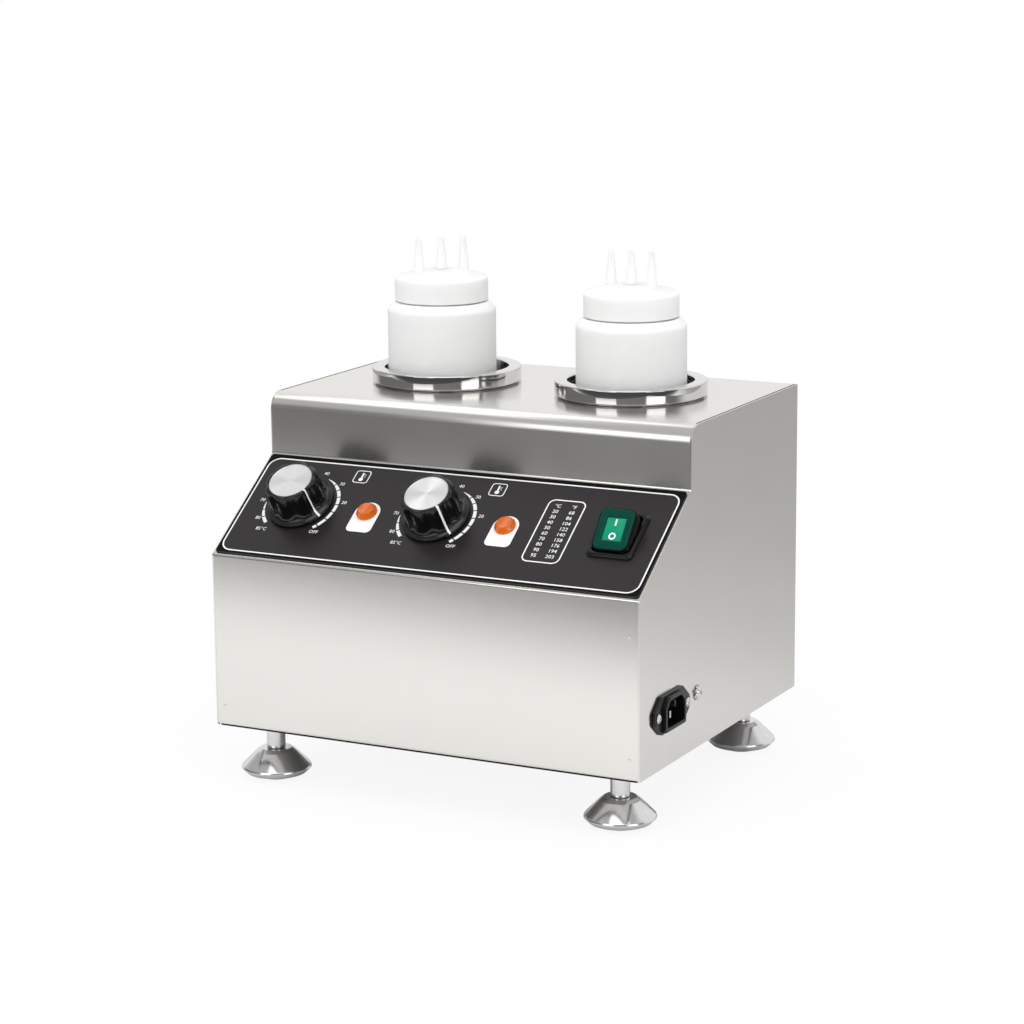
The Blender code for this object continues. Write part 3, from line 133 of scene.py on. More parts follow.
# Knobs from the hub out to the recess of the disc, as (radius, height, depth of the flutes)
KNOB_RINGS = (
    (3.3, 11.7, 0), (3.3, 3.3, 0), (5.0, 3.3, 0), (5.0, 0, 0), (20.3, 0, 0), (20.5, 0.2, 0), (20.5, 1.5, 0),
    (20.35, 1.95, 0), (20.0, 2.2, 0), (18.9, 2.45, 0), (18.0, 2.9, 0.05), (17.5, 3.7, 0.35), (17.2, 4.8, 1.0),
    (17.0, 6.2, 1.35), (16.6, 11.0, 1.4), (16.2, 16.0, 1.4), (15.95, 18.6, 1.35), (15.8, 19.3, 1.3),
    (15.45, 19.8, 1.15), (14.9, 20.0, 0.9), (13.85, 20.0, 0), (13.7, 19.85, 0), (13.7, 18.9, 0),
)
POINTER_RINGS = slice(6, -2)
KNOB_STEPS = 128
KNOB_LIFT = 0.6
FLUTES = 8
POINTER_DEG = {"left": -28.0, "right": -40.0}
POINTER_WIDTH = 1.3
POINTER_PROUD = 0.08
POINTER_SUNK = 0.04
DISC = ((0, 0, 0), (13.4, 0, 0.1), (13.4, 0.8, 0.25), (12.9, 0.8, 0.1), (12.7, 0.7, 0.1), (0, 0.62, 0))
DISC_LIFT = 19.2

# Lamp lenses, as (radius, height)
LENS_STEPS = 14
LENS_RINGS = ((0, 0), (6.5, 0), (6.5, 1.1), (6.1, 1.6), (4.9, 3.3), (4.4, 3.6), (3.4, 3.5), (0, 3.1))

# Power switch, as rounded rectangles of (width, height, corner, lift)
BEZEL = 2.4
FRAME_RINGS = (
    (25.2, 31.8, 0.6, -21.0), (25.2, 31.8, 0.6, 0), (28.6, 34.4, 3.0, 0), (28.6, 34.4, 3.0, 0.6),
    (28.2, 34.0, 3.0, 0.9), (27.4, 33.4, 2.9, 1.0), (27.4, 33.4, 2.9, 1.5), (27.0, 33.0, 2.8, 1.7),
    (26.2, 32.4, 2.8, 1.8), (26.2, 32.4, 2.8, 2.2), (25.9, 32.1, 2.8, 2.4), (23.3, 29.9, 3.4, 2.4),
    (23.3, 29.9, 3.4, -7.2),
)
BOOT_RINGS = (
    (20.7, 25.2, 3.6, -5.5), (20.7, 25.2, 3.6, 5.0), (21.4, 25.9, 3.9, 5.2), (21.5, 26.0, 4.0, 5.6),
    (21.9, 26.4, 4.2, 5.8), (22.4, 26.9, 4.4, 5.6), (22.5, 27.0, 4.5, 5.2), (22.5, 27.0, 4.5, 4.5),
    (21.5, 26.0, 4.1, 4.1), (21.5, 26.0, 4.1, 3.7),
    (22.4, 26.9, 4.5, 3.3), (22.4, 26.9, 4.5, 2.7), (21.5, 26.0, 4.1, 2.3), (21.5, 26.0, 4.1, 2.0),
    (22.4, 26.9, 4.5, 1.6), (22.4, 26.9, 4.5, 1.0), (21.6, 26.1, 4.1, 0.6), (21.6, 26.1, 4.1, 0.2),
    (22.4, 26.9, 4.5, -0.2), (22.5, 27.0, 4.5, -5.5),
)
FACE_RINGS = (
    (12.1, 14.8, 0.6, 5.25), (21.2, 25.7, 3.9, 5.25), (21.3, 25.8, 4.0, 5.4), (21.3, 25.8, 4.0, 5.7),
    (21.1, 25.6, 3.9, 6.0), (20.6, 25.1, 3.7, 6.22), (19.8, 24.3, 3.4, 6.3), (13.3, 16.0, 1.0, 6.3),
    (12.7, 15.4, 0.8, 6.2), (12.3, 15.0, 0.7, 5.9),
)
WINDOW_RINGS = ((12.0, 14.7, 0.5, 5.15), (12.0, 14.7, 0.5, 5.4), (11.7, 14.4, 0.5, 5.5))
WINDOW_TOP = 5.5
ROCKER_TILT_DEG = 16.0
MARK_UP = 4.4
MARK_HEIGHT = 4.1
RING_RADIUS = 1.75
MARK_WEIGHT = 0.95

# Mains inlet, its place from the casing's front and base, and the earth screw beside it
INLET_PLACE = (41.1, 32.2)
INLET_EAR = (24.2, 3.6, 3.0)
INLET_WAIST = (14.6, 11.25, 2.5)
INLET_FLANGE = 1.6
INLET_EASING = 0.3
INLET_RIM = (28.0, 20.0, 5.6)
INLET_SOCKET = (23.8, 15.6, 4.2)
INLET_CORNER = 1.2
INLET_PROUD = 4.2
INLET_DEPTH = 17.0
INLET_FLOOR = 2.0
INLET_SCREW_AWAY = 20.0
INLET_SCREW_HOLE = 1.8
EARTH_PLACE = (79.0, 33.2)
EARTH_WASHER = 0.6
EARTH_TEETH = 8
EARTH_TOOTH = ((3.1, 0.0), (3.3, 0.16), (4.6, 0.22), (4.6, 0.78), (3.3, 0.84))
EARTH_DOME = (
    (0, -12.0, 0), (1.9, -12.0, 0.3), (1.9, 0.8, 0), (3.3, 0.8, 0.1), (3.3, 1.3, 0.3), (2.2, 2.6, 1.2),
    (0, 2.9, 0),
)
EARTH_SLOT_TURN_DEG = 50.0

# Pan-head screws, as shares of the head's radius and height, with each one's axis and head height
SCREW_STEPS = 32
SCREW_SHARES = ((0.5, 0, 0), (1.0, 0, 0.1), (1.0, 0.45, 0.2), (0.62, 1.0, 0.5), (0, 1.0, 0))
SLOT = (0.7, 12.0, 0.05)
SLOT_DEPTH = 0.7
SLOT_TURN_DEG = 35.0
SCREWS = {
    "inlet_screw": ("X", 1.0, ("front", "rear")),
    "rear_screw": ("Y", 1.3, ("left_lower", "left_upper", "right_lower", "right_upper")),
}

# Print on the film. A dial's bars run from start to end degrees, and some taper between two shares
# of their width. Its numbers are (text, degrees, radius).
SCALE_RADIUS = 23.7
SCALE_WIDTH = 2.1
SCALE_STEPS = 5
SCALE_DEG = ((-47.0, -41.0), (-39.0, -25.0), (-23.0, -10.0), (-8.0, 5.0), (7.0, 20.0), (22.0, 35.0),
             (37.0, 49.0), (51.0, 68.0), (182.0, 196.0), (198.0, 211.0), (213.0, 226.0))
SCALE_TAPER_SHARES = {37.0: (1.0, 0.75), 51.0: (0.7, 0.12), 182.0: (0.15, 0.6), 198.0: (0.7, 0.95)}
NUMBERS = (("OFF", -48.7, 27.6), ("20", 9.3, 28.0), ("30", 44.4, 27.4), ("40", 78.0, 27.0),
           ("70", 179.0, 27.0), ("80", 211.0, 27.2), ("85°C", 232.5, 28.2))
NUMBER_SIZE = 2.5
CAPITAL_SHARE = 0.72
LETTER_WEIGHT = 0.01
FILM = (277.2, 82.0, 2.0)
FILM_MIDDLE = (139.9, 43.2)
BORDER = (273.2, 76.6, 7.0, 0.9)
BORDER_MIDDLE = (139.9, 42.5)
ICON_PLACES = ((70.0, 72.0), (161.8, 72.0))
ICON = (9.6, 9.6, 1.8, 0.55)
ICON_BULB = (1.45, -2.0)
ICON_STEM = (1.1, -1.2, 3.2)
ICON_TICKS = (0.3, 1.1, 2.2)
ICON_TICK_UPS = (0, 1, 2)
TAB_HALF = 8.3
TAB_LOW = 15.6
TAB_ARCH = 8.29
TAB_CORNER = 3.2
TABLE_MIDDLE = (209.5, 44.2)
TABLE = (23.4, 48.6, 4.0, 0.8)
TABLE_ROW = 4.35
TABLE_COLUMN = 5.2
TABLE_TEXT = 2.7
CELSIUS = (20, 30, 40, 50, 60, 70, 80, 90, 95)
FAHRENHEIT_PER_DEGREE = 1.8
FAHRENHEIT_AT_ZERO = 32

# Fine grain of the finishes, as its size along X, Y and Z and the height of its relief
WRAP_GRAIN = (60, 0.5, 0.5, 0.0004)
SIDE_GRAIN = (0.5, 60, 0.5, 0.0004)
MILL_GRAIN = (1.5, 1.5, 1.5, 0.002)
BUFFED_GRAIN = (2, 2, 2, 0.0002)
CHROME_GRAIN = (3, 3, 3, 0.0003)
GLOSS_GRAIN = (0.8, 0.8, 0.8, 0.0006)
NYLON_GRAIN = (0.45, 0.45, 0.45, 0.006)
RUBBER_GRAIN = (0.6, 0.6, 0.6, 0.002)
FILM_GRAIN = (0.6, 0.6, 0.6, 0.002)
BLACK_INK_GRAIN = (0.3, 0.3, 0.3, 0.001)
WHITE_INK_GRAIN = (0.3, 0.3, 0.3, 0.002)
PAINT_GRAIN = (0.4, 0.4, 0.4, 0.004)
BAKELITE_GRAIN = (0.6, 0.6, 0.6, 0.006)
FELT_GRAIN = (1.4, 1.4, 1.4, 0.25)
HEATED_GRAIN = (1.0, 1.0, 8.0, 0.004)
BRASS_GRAIN = (0.8, 6.0, 0.8, 0.002)
DRAWN_GRAIN = (0.5, 0.5, 4.0, 0.0015)
SLEEVE_GRAIN = (0.8, 0.8, 0.8, 0.004)
MILKY_GRAIN = (5, 5, 9, 0.012)
MILKY_DEPTH = 6.0

# How grain and broad patches mix, the values that noise keeps to, and the streaks and rings
GRAIN_DETAIL = 3.0
PATCH_SIZE = 35.0
PATCH_SHARE = 0.35
NOISE_LOW = 0.3
NOISE_HIGH = 0.7
TINT_STREAK = 6.0
TINT_RELIEF = 0.02
RING_PITCH = 0.5
WAVE_RADIANS = 20.0
QUARTER_TURN = 0.25
GRAIN_SLANT = 0.05

# Floor, light and camera, in metres: the tones that steel sees lie at distances along the floor,
# and a softbox is (place, size, watts)
FLOOR_HALF = 9.0
FLOOR_TOP = -0.0002
FLOOR_BOTTOM = -0.02
FLOOR_TURN_DEG = 18.0
FLOOR_TONES = ((-1.20, 0.09), (-0.98, 0.11), (-0.80, 0.22), (-0.64, 0.32), (-0.48, 0.76), (-0.35, 0.99),
               (0.10, 0.80), (0.26, 0.63), (0.50, 0.53), (0.76, 0.50))
FLOOR_WHITE = 0.95
FLOOR_WHITE_NEAR = (0.25, 0.9)
FLOOR_WHITE_FAR = (1.1, 1.0)
EVEN_LIGHT = 0.83
STUDIO_REAR = 0.95
STUDIO_REAR_FROM = (0.05, 0.45)
STUDIO_SIDES = 0.2
STUDIO_UPPER = 0.5
STUDIO_UPPER_FROM = (0.25, 0.5)
AIM = (0.0, 0.0, 0.15)
SOFTBOXES = {
    "front_left": ((-0.32, -1.67, 0.76), (1.0, 0.7), 3.6),
    "front_right": ((1.53, -0.745, 0.60), (0.85, 0.4), 2.5),
    "overhead_left": ((-0.95, 0.13, 1.9), (1.6, 0.35), 2.0),
    "overhead_front": ((0.35, -0.75, 1.9), (1.5, 1.3), 10.0),
}
CAMERA_PLACE = (0.82824, -1.60117, 0.53819)
CAMERA_AZIMUTH_DEG = 27.37853
CAMERA_ELEVATION_DEG = 11.94124
CAMERA_ROLL_DEG = -0.50411
CAMERA_LENS = 106.937

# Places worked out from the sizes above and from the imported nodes
casing_left, casing_front, casing_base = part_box("left_side_panel")[0]
casing_right, _, casing_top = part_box("right_side_panel")[1]
casing_width = (casing_right - casing_left) / MM
casing_corner = Matrix.Translation((casing_left, casing_front, casing_base))
slope = math.atan2(PANEL_RISE, PANEL_RUN)
panel = casing_corner @ Matrix.Translation((0, 0, PANEL_FOOT * MM)) @ Matrix.Rotation(slope, 4, "X")
film_print = FILM_TOP + INK_LIFT
folds = (
    (FRONT_FLANGE, 0, 0),
    (0, 0, FOLD_RADIUS),
    (0, PANEL_FOOT, FOLD_RADIUS),
    (PANEL_RUN, PANEL_FOOT + PANEL_RISE, FOLD_RADIUS),
    (PANEL_RUN, CASING_HEIGHT, TOP_BEND),
    (CASING_DEPTH, CASING_HEIGHT, 0),
)


# Places
def on_panel(across, up, lift=0.0):
    """A place on the sloped panel, with its Z pointing out of the panel."""
    return panel @ Matrix.Translation(Vector((across, up, lift)) * MM)


def on_right_side(back, up, lift=0.0):
    """A place on the right side panel: its X runs to the rear, its Y up and its Z outwards."""
    place = Vector((casing_right, casing_front, casing_base)) + Vector((lift, back, up)) * MM
    turn = Matrix(((0, 0, 1, 0), (1, 0, 0, 0), (0, 1, 0, 0), (0, 0, 0, 1)))
    return Matrix.Translation(place) @ turn


def above(node, height=None):
    """The axis of an upright round node, from its own foot or from a height in metres."""
    low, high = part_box(node)
    middle = (low + high) / 2
    return Matrix.Translation((middle.x, middle.y, low.z if height is None else height))


# Outlines
def softened(corners, closed=False):
    """A line through corners of (x, y, radius), each rounded to its radius."""
    line = []
    count = len(corners)
    for index, (x, y, radius) in enumerate(corners):
        corner = Vector((x, y))
        if not radius or (not closed and index in (0, count - 1)):
            line.append(corner)
            continue
        towards = (Vector(corners[index - 1][:2]) - corner).normalized()
        away = (Vector(corners[(index + 1) % count][:2]) - corner).normalized()
        half = towards.angle(away) / 2
        centre = corner + (towards + away).normalized() * (radius / math.sin(half))
        start = corner + towards * (radius / math.tan(half)) - centre
        end = corner + away * (radius / math.tan(half)) - centre
        turn = math.atan2(start.x * end.y - start.y * end.x, start.dot(end))
        for step in range(CORNER_STEPS + 1):
            spun = Matrix.Rotation(turn * step / CORNER_STEPS, 3, "Z") @ start.to_3d()
            line.append(centre + spun.to_2d())
    return line


def rectangle(width, height, radius):
    """A rounded rectangle about the origin."""
    x, y = width / 2, height / 2
    return softened([(x, -y, radius), (x, y, radius), (-x, y, radius), (-x, -y, radius)], closed=True)


def moved(outline, across, up):
    return [(x + across, y + up) for x, y in outline]


def level(outline, height):
    return [Vector((x, y, height)) for x, y in outline]


def polar(radius, turn, across=0.0, up=0.0):
    """A point at a radius and a turn about a middle."""
    return across + radius * math.cos(turn), up + radius * math.sin(turn)


def circle(radius, height, steps=ROUND):
    if not radius:
        return [Vector((0, 0, height))]
    return [Vector((*polar(radius, 2 * math.pi * step / steps), height)) for step in range(steps)]


def disc_outline(radius, steps=ROUND):
    return [(point.x, point.y) for point in circle(radius, 0, steps)]


# Shapes
def skin(shape, loops, ring=False):
    """Faces over a row of loops of points. Its ends are closed, or meet in a ring."""
    rows = [[shape.verts.new(point) for point in loop] for loop in loops]
    pairs = list(zip(rows, rows[1:]))
    if ring:
        pairs.append((rows[-1], rows[0]))
    for row, following in pairs:
        count = max(len(row), len(following))
        for index in range(count):
            after = (index + 1) % count
            if len(row) == 1:
                corners = (row[0], following[after], following[index])
            elif len(following) == 1:
                corners = (row[index], row[after], following[0])
            else:
                corners = (row[index], row[after], following[after], following[index])
            shape.faces.new(corners)
    if not ring:
        for row in (rows[0], rows[-1]):
            if len(row) > 2:
                shape.faces.new(row)
    return shape


def turned(corners, steps=ROUND, closed=False):
    """A profile of (radius, height, rounding) corners, turned about Z."""
    line = softened(corners, closed)
    return skin(bmesh.new(), [circle(radius, height, steps) for radius, height in line], closed)


def slab(shape, outline, low, high):
    return skin(shape, [level(outline, low), level(outline, high)])


def band(shape, outer, inner, low, high):
    """A flat ring between two outlines with as many points."""
    loops = [level(outer, low), level(outer, high), level(inner, high), level(inner, low)]
    return skin(shape, loops, ring=True)


def lofted(sections, ring=False):
    loops = [level(rectangle(width, height, corner), lift) for width, height, corner, lift in sections]
    return skin(bmesh.new(), loops, ring)


def stroke(shape, points, widths, height, closed=False):
    """A printed line along points, with its width at each, as a thin solid."""
    points = [Vector(point) for point in points]
    count = len(points)
    if isinstance(widths, (int, float)):
        widths = [widths] * count
    loops = []
    for index, point in enumerate(points):
        before = points[index - 1] if closed or index else point
        after = points[(index + 1) % count] if closed or index < count - 1 else point
        along = (after - before).normalized()
        side = Vector((-along.y, along.x)) * widths[index] / 2
        left, right = point + side, point - side
        corners = ((left, -INK / 2), (right, -INK / 2), (right, INK / 2), (left, INK / 2))
        loops.append([Vector((*corner, height + lift)) for corner, lift in corners])
    skin(shape, loops, ring=closed)


def printed(shape, outline):
    """A filled area of ink on the film."""
    slab(shape, outline, film_print - INK / 2, film_print + INK / 2)


def linked(name, data):
    """An object with its data, linked into the scene."""
    made = bpy.data.objects.new(name, data)
    bpy.context.scene.collection.objects.link(made)
    return made


def final_mesh(item):
    """A mesh of an object as its curve or modifiers leave it."""
    bpy.context.view_layer.update()
    return bpy.data.meshes.new_from_object(item.evaluated_get(bpy.context.evaluated_depsgraph_get()))


def letters(shape, text, across, up, size):
    """Plain numbers and signs in Blender's own typeface, as thin solids on the film."""
    curve = bpy.data.curves.new("letters", "FONT")
    curve.body = text
    curve.size = size / CAPITAL_SHARE
    curve.align_x = "CENTER"
    curve.align_y = "CENTER"
    curve.extrude = INK / 2
    curve.resolution_u = LETTER_STEPS
    curve.offset = LETTER_WEIGHT
    holder = linked("letters", curve)
    data = final_mesh(holder)
    data.transform(Matrix.Translation((across, up, film_print)))
    shape.from_mesh(data)
    bpy.data.objects.remove(holder)
    bpy.data.curves.remove(curve)
    bpy.data.meshes.remove(data)


def mesh_object(name, shape, surface, place=None, crease=SHARP_DEG):
    """An object in metres from a shape in millimetres, sharp where its faces turn by more than a crease."""
    data = bpy.data.meshes.new(name)
    bmesh.ops.recalc_face_normals(shape, faces=shape.faces)
    shape.to_mesh(data)
    shape.free()
    data.transform(Matrix.Scale(MM, 4))
    data.materials.append(surface)
    data.shade_smooth()
    data.set_sharp_from_angle(angle=math.radians(crease))
    made = linked(name, data)
    if place is not None:
        made.matrix_world = place
    return made


def carve(item, cutters, operation="DIFFERENCE"):
    """Cut solids out of an object, or join them to it, and keep the result as its mesh."""
    for cutter in cutters:
        step = item.modifiers.new(cutter.name, "BOOLEAN")
        step.object = cutter
        step.operation = operation
    data = final_mesh(item)
    item.modifiers.clear()
    old = item.data
    item.data = data
    bpy.data.meshes.remove(old)
    data.shade_smooth()
    data.set_sharp_from_angle(angle=math.radians(SHARP_DEG))
    for cutter in cutters:
        bpy.data.objects.remove(cutter)
    return item


def fit(item, body, slot, *nodes):
    """Let a piece ride on its body, and hide the nodes that it stands for. Its slot is not used."""
    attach(item, body)
    if nodes:
        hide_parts(*nodes)
    return item


# Materials
def linear(code):
    """An sRGB hex colour as linear red, green, blue and alpha."""
    parts = [int(code[place:place + 2], 16) / 255 for place in (1, 3, 5)]
    return (*(part / 12.92 if part <= 0.04045 else ((part + 0.055) / 1.055) ** 2.4 for part in parts), 1.0)


def add(tree, kind, inputs, **settings):
    """Add a node with its settings. An input is a value, or the output of another node."""
    made = tree.nodes.new(kind)
    for name, value in settings.items():
        setattr(made, name, value)
    for name, value in inputs.items():
        if isinstance(value, bpy.types.NodeSocket):
            tree.links.new(value, made.inputs[name])
        else:
            made.inputs[name].default_value = value
    return made


def principled(name, roughness, **sockets):
    """A material with its shader's plain values set, its tree and shader, and the place on the object."""
    made = bpy.data.materials.new(name)
    made.use_nodes = True
    tree = made.node_tree
    shader = tree.nodes["Principled BSDF"]
    shader.inputs["Roughness"].default_value = roughness
    for socket, value in sockets.items():
        shader.inputs[socket.replace("_", " ")].default_value = value
    return made, tree, shader, add(tree, "ShaderNodeTexCoord", {}).outputs["Object"]


def grained(name, colours, roughness, grain, **sockets):
    """A surface with its fine grain and broad uneven patches."""
    made, tree, shader, place = principled(name, roughness[0], **sockets)
    *sizes, relief = grain
    spread = add(tree, "ShaderNodeMapping", {"Vector": place, "Scale": [1 / (size * MM) for size in sizes]})
    fine = add(tree, "ShaderNodeTexNoise", {
        "Vector": spread.outputs[0], "Scale": 1.0, "Detail": GRAIN_DETAIL,
    })
    patches = add(tree, "ShaderNodeTexNoise", {"Vector": place, "Scale": 1 / (PATCH_SIZE * MM)})
    both = add(tree, "ShaderNodeMix", {"Factor": PATCH_SHARE, "A": fine.outputs[0], "B": patches.outputs[0]})
    tone = add(tree, "ShaderNodeValToRGB", {"Fac": both.outputs[0]})
    tone.color_ramp.elements[0].position = NOISE_LOW
    tone.color_ramp.elements[1].position = NOISE_HIGH
    tone.color_ramp.elements[0].color = linear(colours[0])
    tone.color_ramp.elements[1].color = linear(colours[1])
    rough = add(tree, "ShaderNodeMapRange", {
        "Value": both.outputs[0], "From Min": NOISE_LOW, "From Max": NOISE_HIGH,
        "To Min": roughness[0], "To Max": roughness[1],
    })
    bump = add(tree, "ShaderNodeBump", {"Height": fine.outputs[0], "Strength": 1.0, "Distance": relief * MM})
    tree.links.new(tone.outputs[0], shader.inputs["Base Color"])
    tree.links.new(rough.outputs[0], shader.inputs["Roughness"])
    tree.links.new(bump.outputs[0], shader.inputs["Normal"])
    return made


def across_grain(material, grain_way):
    """Spread the light across a sheet's brushing, as its fine lines do. The lines run a little
    aslant, so that the sheet's cut edges have a direction too."""
    tree = material.node_tree
    shader = tree.nodes["Principled BSDF"]
    normal = add(tree, "ShaderNodeNewGeometry", {}).outputs["Normal"]
    lie = add(tree, "ShaderNodeVectorMath", {0: normal, 1: grain_way}, operation="CROSS_PRODUCT")
    tree.links.new(lie.outputs[0], shader.inputs["Tangent"])
    return material


def spun(name, colours, roughness, **sockets):
    """Metal turned with a fine tool: its rings draw the light out into two fans."""
    made, tree, shader, place = principled(name, roughness, Metallic=1.0, **sockets)
    rings = add(tree, "ShaderNodeTexWave", {
        "Vector": place, "Scale": 2 * math.pi / (RING_PITCH * MM * WAVE_RADIANS),
    }, wave_type="RINGS", rings_direction="Z")
    tone = add(tree, "ShaderNodeMix", {
        "Factor": rings.outputs["Fac"], "A": linear(colours[0]), "B": linear(colours[1]),
    }, data_type="RGBA")
    lie = add(tree, "ShaderNodeTangent", {}, direction_type="RADIAL", axis="Z")
    tree.links.new(tone.outputs["Result"], shader.inputs["Base Color"])
    tree.links.new(lie.outputs[0], shader.inputs["Tangent"])
    shader.inputs["Anisotropic Rotation"].default_value = QUARTER_TURN
    return made


def tinted(name, colours, roughness, **sockets):
    """Clear tinted plastic, with the faint streaks of its moulding."""
    made, tree, shader, place = principled(name, roughness, **sockets)
    streaks = add(tree, "ShaderNodeTexNoise", {"Vector": place, "Scale": 1 / (TINT_STREAK * MM)})
    tone = add(tree, "ShaderNodeMix", {
        "Factor": streaks.outputs[0], "A": linear(colours[0]), "B": linear(colours[1]),
    }, data_type="RGBA")
    bump = add(tree, "ShaderNodeBump", {
        "Height": streaks.outputs[0], "Strength": 1.0, "Distance": TINT_RELIEF * MM,
    })
    tree.links.new(tone.outputs["Result"], shader.inputs["Base Color"])
    tree.links.new(bump.outputs[0], shader.inputs["Normal"])
    return made


# Stainless sheet, bright cold rolled and very finely brushed along the casing's width. The real
# lines lie about 0.1 mm apart and are drawn 0.5 mm apart, so they show as a smooth satin.
brushed_sheet = across_grain(grained(
    "satin_stainless_sheet", ("#e5e3df", "#e9e7e3"), (0.18, 0.2), WRAP_GRAIN,
    Metallic=1.0, Anisotropic=0.7), (1.0, GRAIN_SLANT, GRAIN_SLANT))
# The same sheet with its lines running from front to rear, on the two side panels.
side_sheet = across_grain(grained(
    "satin_stainless_side", ("#e0deda", "#e4e2de"), (0.16, 0.19), SIDE_GRAIN,
    Metallic=1.0, Anisotropic=0.6), (GRAIN_SLANT, 1.0, GRAIN_SLANT))
# Plain cold-rolled stainless of the base and pots: duller, with a cloudy mill finish.
mill_sheet = grained("mill_stainless", ("#a9a8a6", "#bdbcba"), (0.34, 0.46), MILL_GRAIN, Metallic=1.0)
# Turned and buffed stainless of the collars, almost a mirror.
buffed_steel = grained("buffed_stainless", ("#d6d5d4", "#dddcdb"), (0.02, 0.05), BUFFED_GRAIN, Metallic=1.0)
# Bright chrome plating on the turned feet and the screws.
chrome = grained("chrome_plate", ("#d8d7d8", "#e2e1e2"), (0.13, 0.2), CHROME_GRAIN, Metallic=1.0)
# Injection moulded ABS from a polished mould: black and wet-looking, with handling marks.
black_gloss = grained("polished_black_abs", ("#070708", "#0c0c0d"), (0.1, 0.18), GLOSS_GRAIN, IOR=1.48)
# Moulded nylon of the inlet, with a fine spark-eroded texture.
black_nylon = grained("spark_textured_nylon", ("#060607", "#0c0c0d"), (0.3, 0.42), NYLON_GRAIN, IOR=1.42)
# Moulded rubber of the switch's boot and frame: black, with soft bright edges. The same black colours the
# strip of painted shade under the casing's lower edge.
black_rubber = grained(
    "moulded_black_rubber", ("#040405", "#080809"), (0.1, 0.18), RUBBER_GRAIN, IOR=1.45)
# Polyester film printed charcoal on its back: a satin skin with a very fine orange peel.
printed_film = grained(
    "printed_polyester_film", ("#1f1b1e", "#242023"), (0.34, 0.42), FILM_GRAIN, IOR=1.36)
# Screen-printed black ink round the film's edge, matt. The same black colours the strips of painted shade on
# the top's seams.
black_ink = grained("screen_printed_black", ("#030303", "#060606"), (0.5, 0.6), BLACK_INK_GRAIN, IOR=1.2)
# Screen-printed white ink, a little chalky.
white_ink = grained("screen_printed_white", ("#f0efee", "#f8f7f6"), (0.45, 0.6), WHITE_INK_GRAIN)
# White paint filled into the knob's moulded line.
line_paint = grained("filled_white_line", ("#eceae8", "#f6f5f3"), (0.4, 0.55), PAINT_GRAIN)
# Moulded bakelite of the thermostats and the terminal block.
cream_bakelite = grained("cream_bakelite", ("#cdc7b3", "#dcd6c4"), (0.4, 0.55), BAKELITE_GRAIN, IOR=1.6)
# Pressed mineral fibre of the lagging: matt, with lumps of the felt.
mineral_felt = grained("pressed_mineral_felt", ("#a39d8c", "#cfcabb"), (0.9, 1.0), FELT_GRAIN)
# Sheet steel round the heaters, browned by the heat.
heated_steel = grained("heat_tinted_steel", ("#6e6254", "#8f8677"), (0.4, 0.55), HEATED_GRAIN, Metallic=1.0)
# Drawn brass of the capillaries and bulbs, slightly tarnished.
drawn_brass = grained("drawn_brass", ("#a8853f", "#c9a658"), (0.24, 0.38), BRASS_GRAIN, Metallic=1.0)
# Drawn aluminium and tinned brass of the shafts and pins.
drawn_metal = grained("tinned_bright_metal", ("#c9c8c4", "#dedcd6"), (0.18, 0.3), DRAWN_GRAIN, Metallic=1.0)
# Soft PVC sleeves of the wires inside the casing: even colours with a dull shine.
wire_skins = {
    slot: grained(f"pvc_sleeve_{slot}", colours, (0.32, 0.45), SLEEVE_GRAIN)
    for slot, colours in {
        "brown_wire": ("#4a2c18", "#583620"),
        "blue_wire": ("#1f58a8", "#2a66ba"),
        "earth_wire": ("#5a9a28", "#86a82c"),
        "red_wire": ("#a82820", "#ba352a"),
    }.items()
}
# Bright aluminium discs, spun and lacquered.
disc_metal = spun("spun_aluminium", ("#d4d4d6", "#dededf"), 0.3, Anisotropic=0.85)
# Amber polycarbonate of the lamp lenses, glowing where light passes through it.
amber_lens = tinted(
    "amber_polycarbonate", ("#f26c08", "#f88416"), 0.05, Transmission_Weight=0.4, IOR=1.55)
# Clear silicone face of the switch's cap: dark green where it is thick, glossy.
cap_silicone = tinted("green_silicone", ("#023a2f", "#044438"), 0.2, IOR=1.2)
# Green polycarbonate rocker seen through the cap's window, bright where the light goes in.
green_rocker = tinted("green_polycarbonate", ("#078a66", "#0c9a74"), 0.25, IOR=1.25)
# Blow-moulded low-density polyethylene of the bottles and caps: milky, waxy and soft in its shading.
milky_plastic = grained(
    "blow_moulded_polyethylene", ("#f7f7f6", "#fbfbfa"), (0.34, 0.46), MILKY_GRAIN,
    Subsurface_Weight=0.5, Subsurface_Scale=MILKY_DEPTH * MM, Subsurface_Radius=(1.0, 1.0, 1.0), IOR=1.51)

# The CAD nodes that keep their own shape take the finish of their slot
FINISHES = {
    "brushed_stainless": mill_sheet, "polished_stainless": chrome, "spun_aluminium": drawn_metal,
    "capillary_brass": drawn_brass, "black_plastic": black_nylon, "printed_film": printed_film,
    "mineral_lagging": mineral_felt, "heater_band": heated_steel, "amber_lens": amber_lens,
    "green_rocker": green_rocker, "clear_cover": cap_silicone, "milky_plastic": milky_plastic,
    "cream_plastic": cream_bakelite, **wire_skins,
}
OWN_FINISHES = {**dict.fromkeys(EASED_NODES, side_sheet), "rear_panel": brushed_sheet}


def finish_nodes():
    """Give each CAD node its finish, and ease the edges of the side panels."""
    for subpart in frame["record"]["subparts"]:
        node = frame["nodes"][subpart["node"]]
        node.data.materials.clear()
        node.data.materials.append(OWN_FINISHES.get(subpart["node"], FINISHES[subpart["material_slot"]]))
    for name in EASED_NODES:
        easing = frame["nodes"][name].modifiers.new("eased_edges", "BEVEL")
        easing.width = EASED_EDGE * MM
        easing.segments = EASED_STEPS
        easing.limit_method = "ANGLE"
        easing.angle_limit = math.radians(SHARP_DEG)
        easing.harden_normals = True


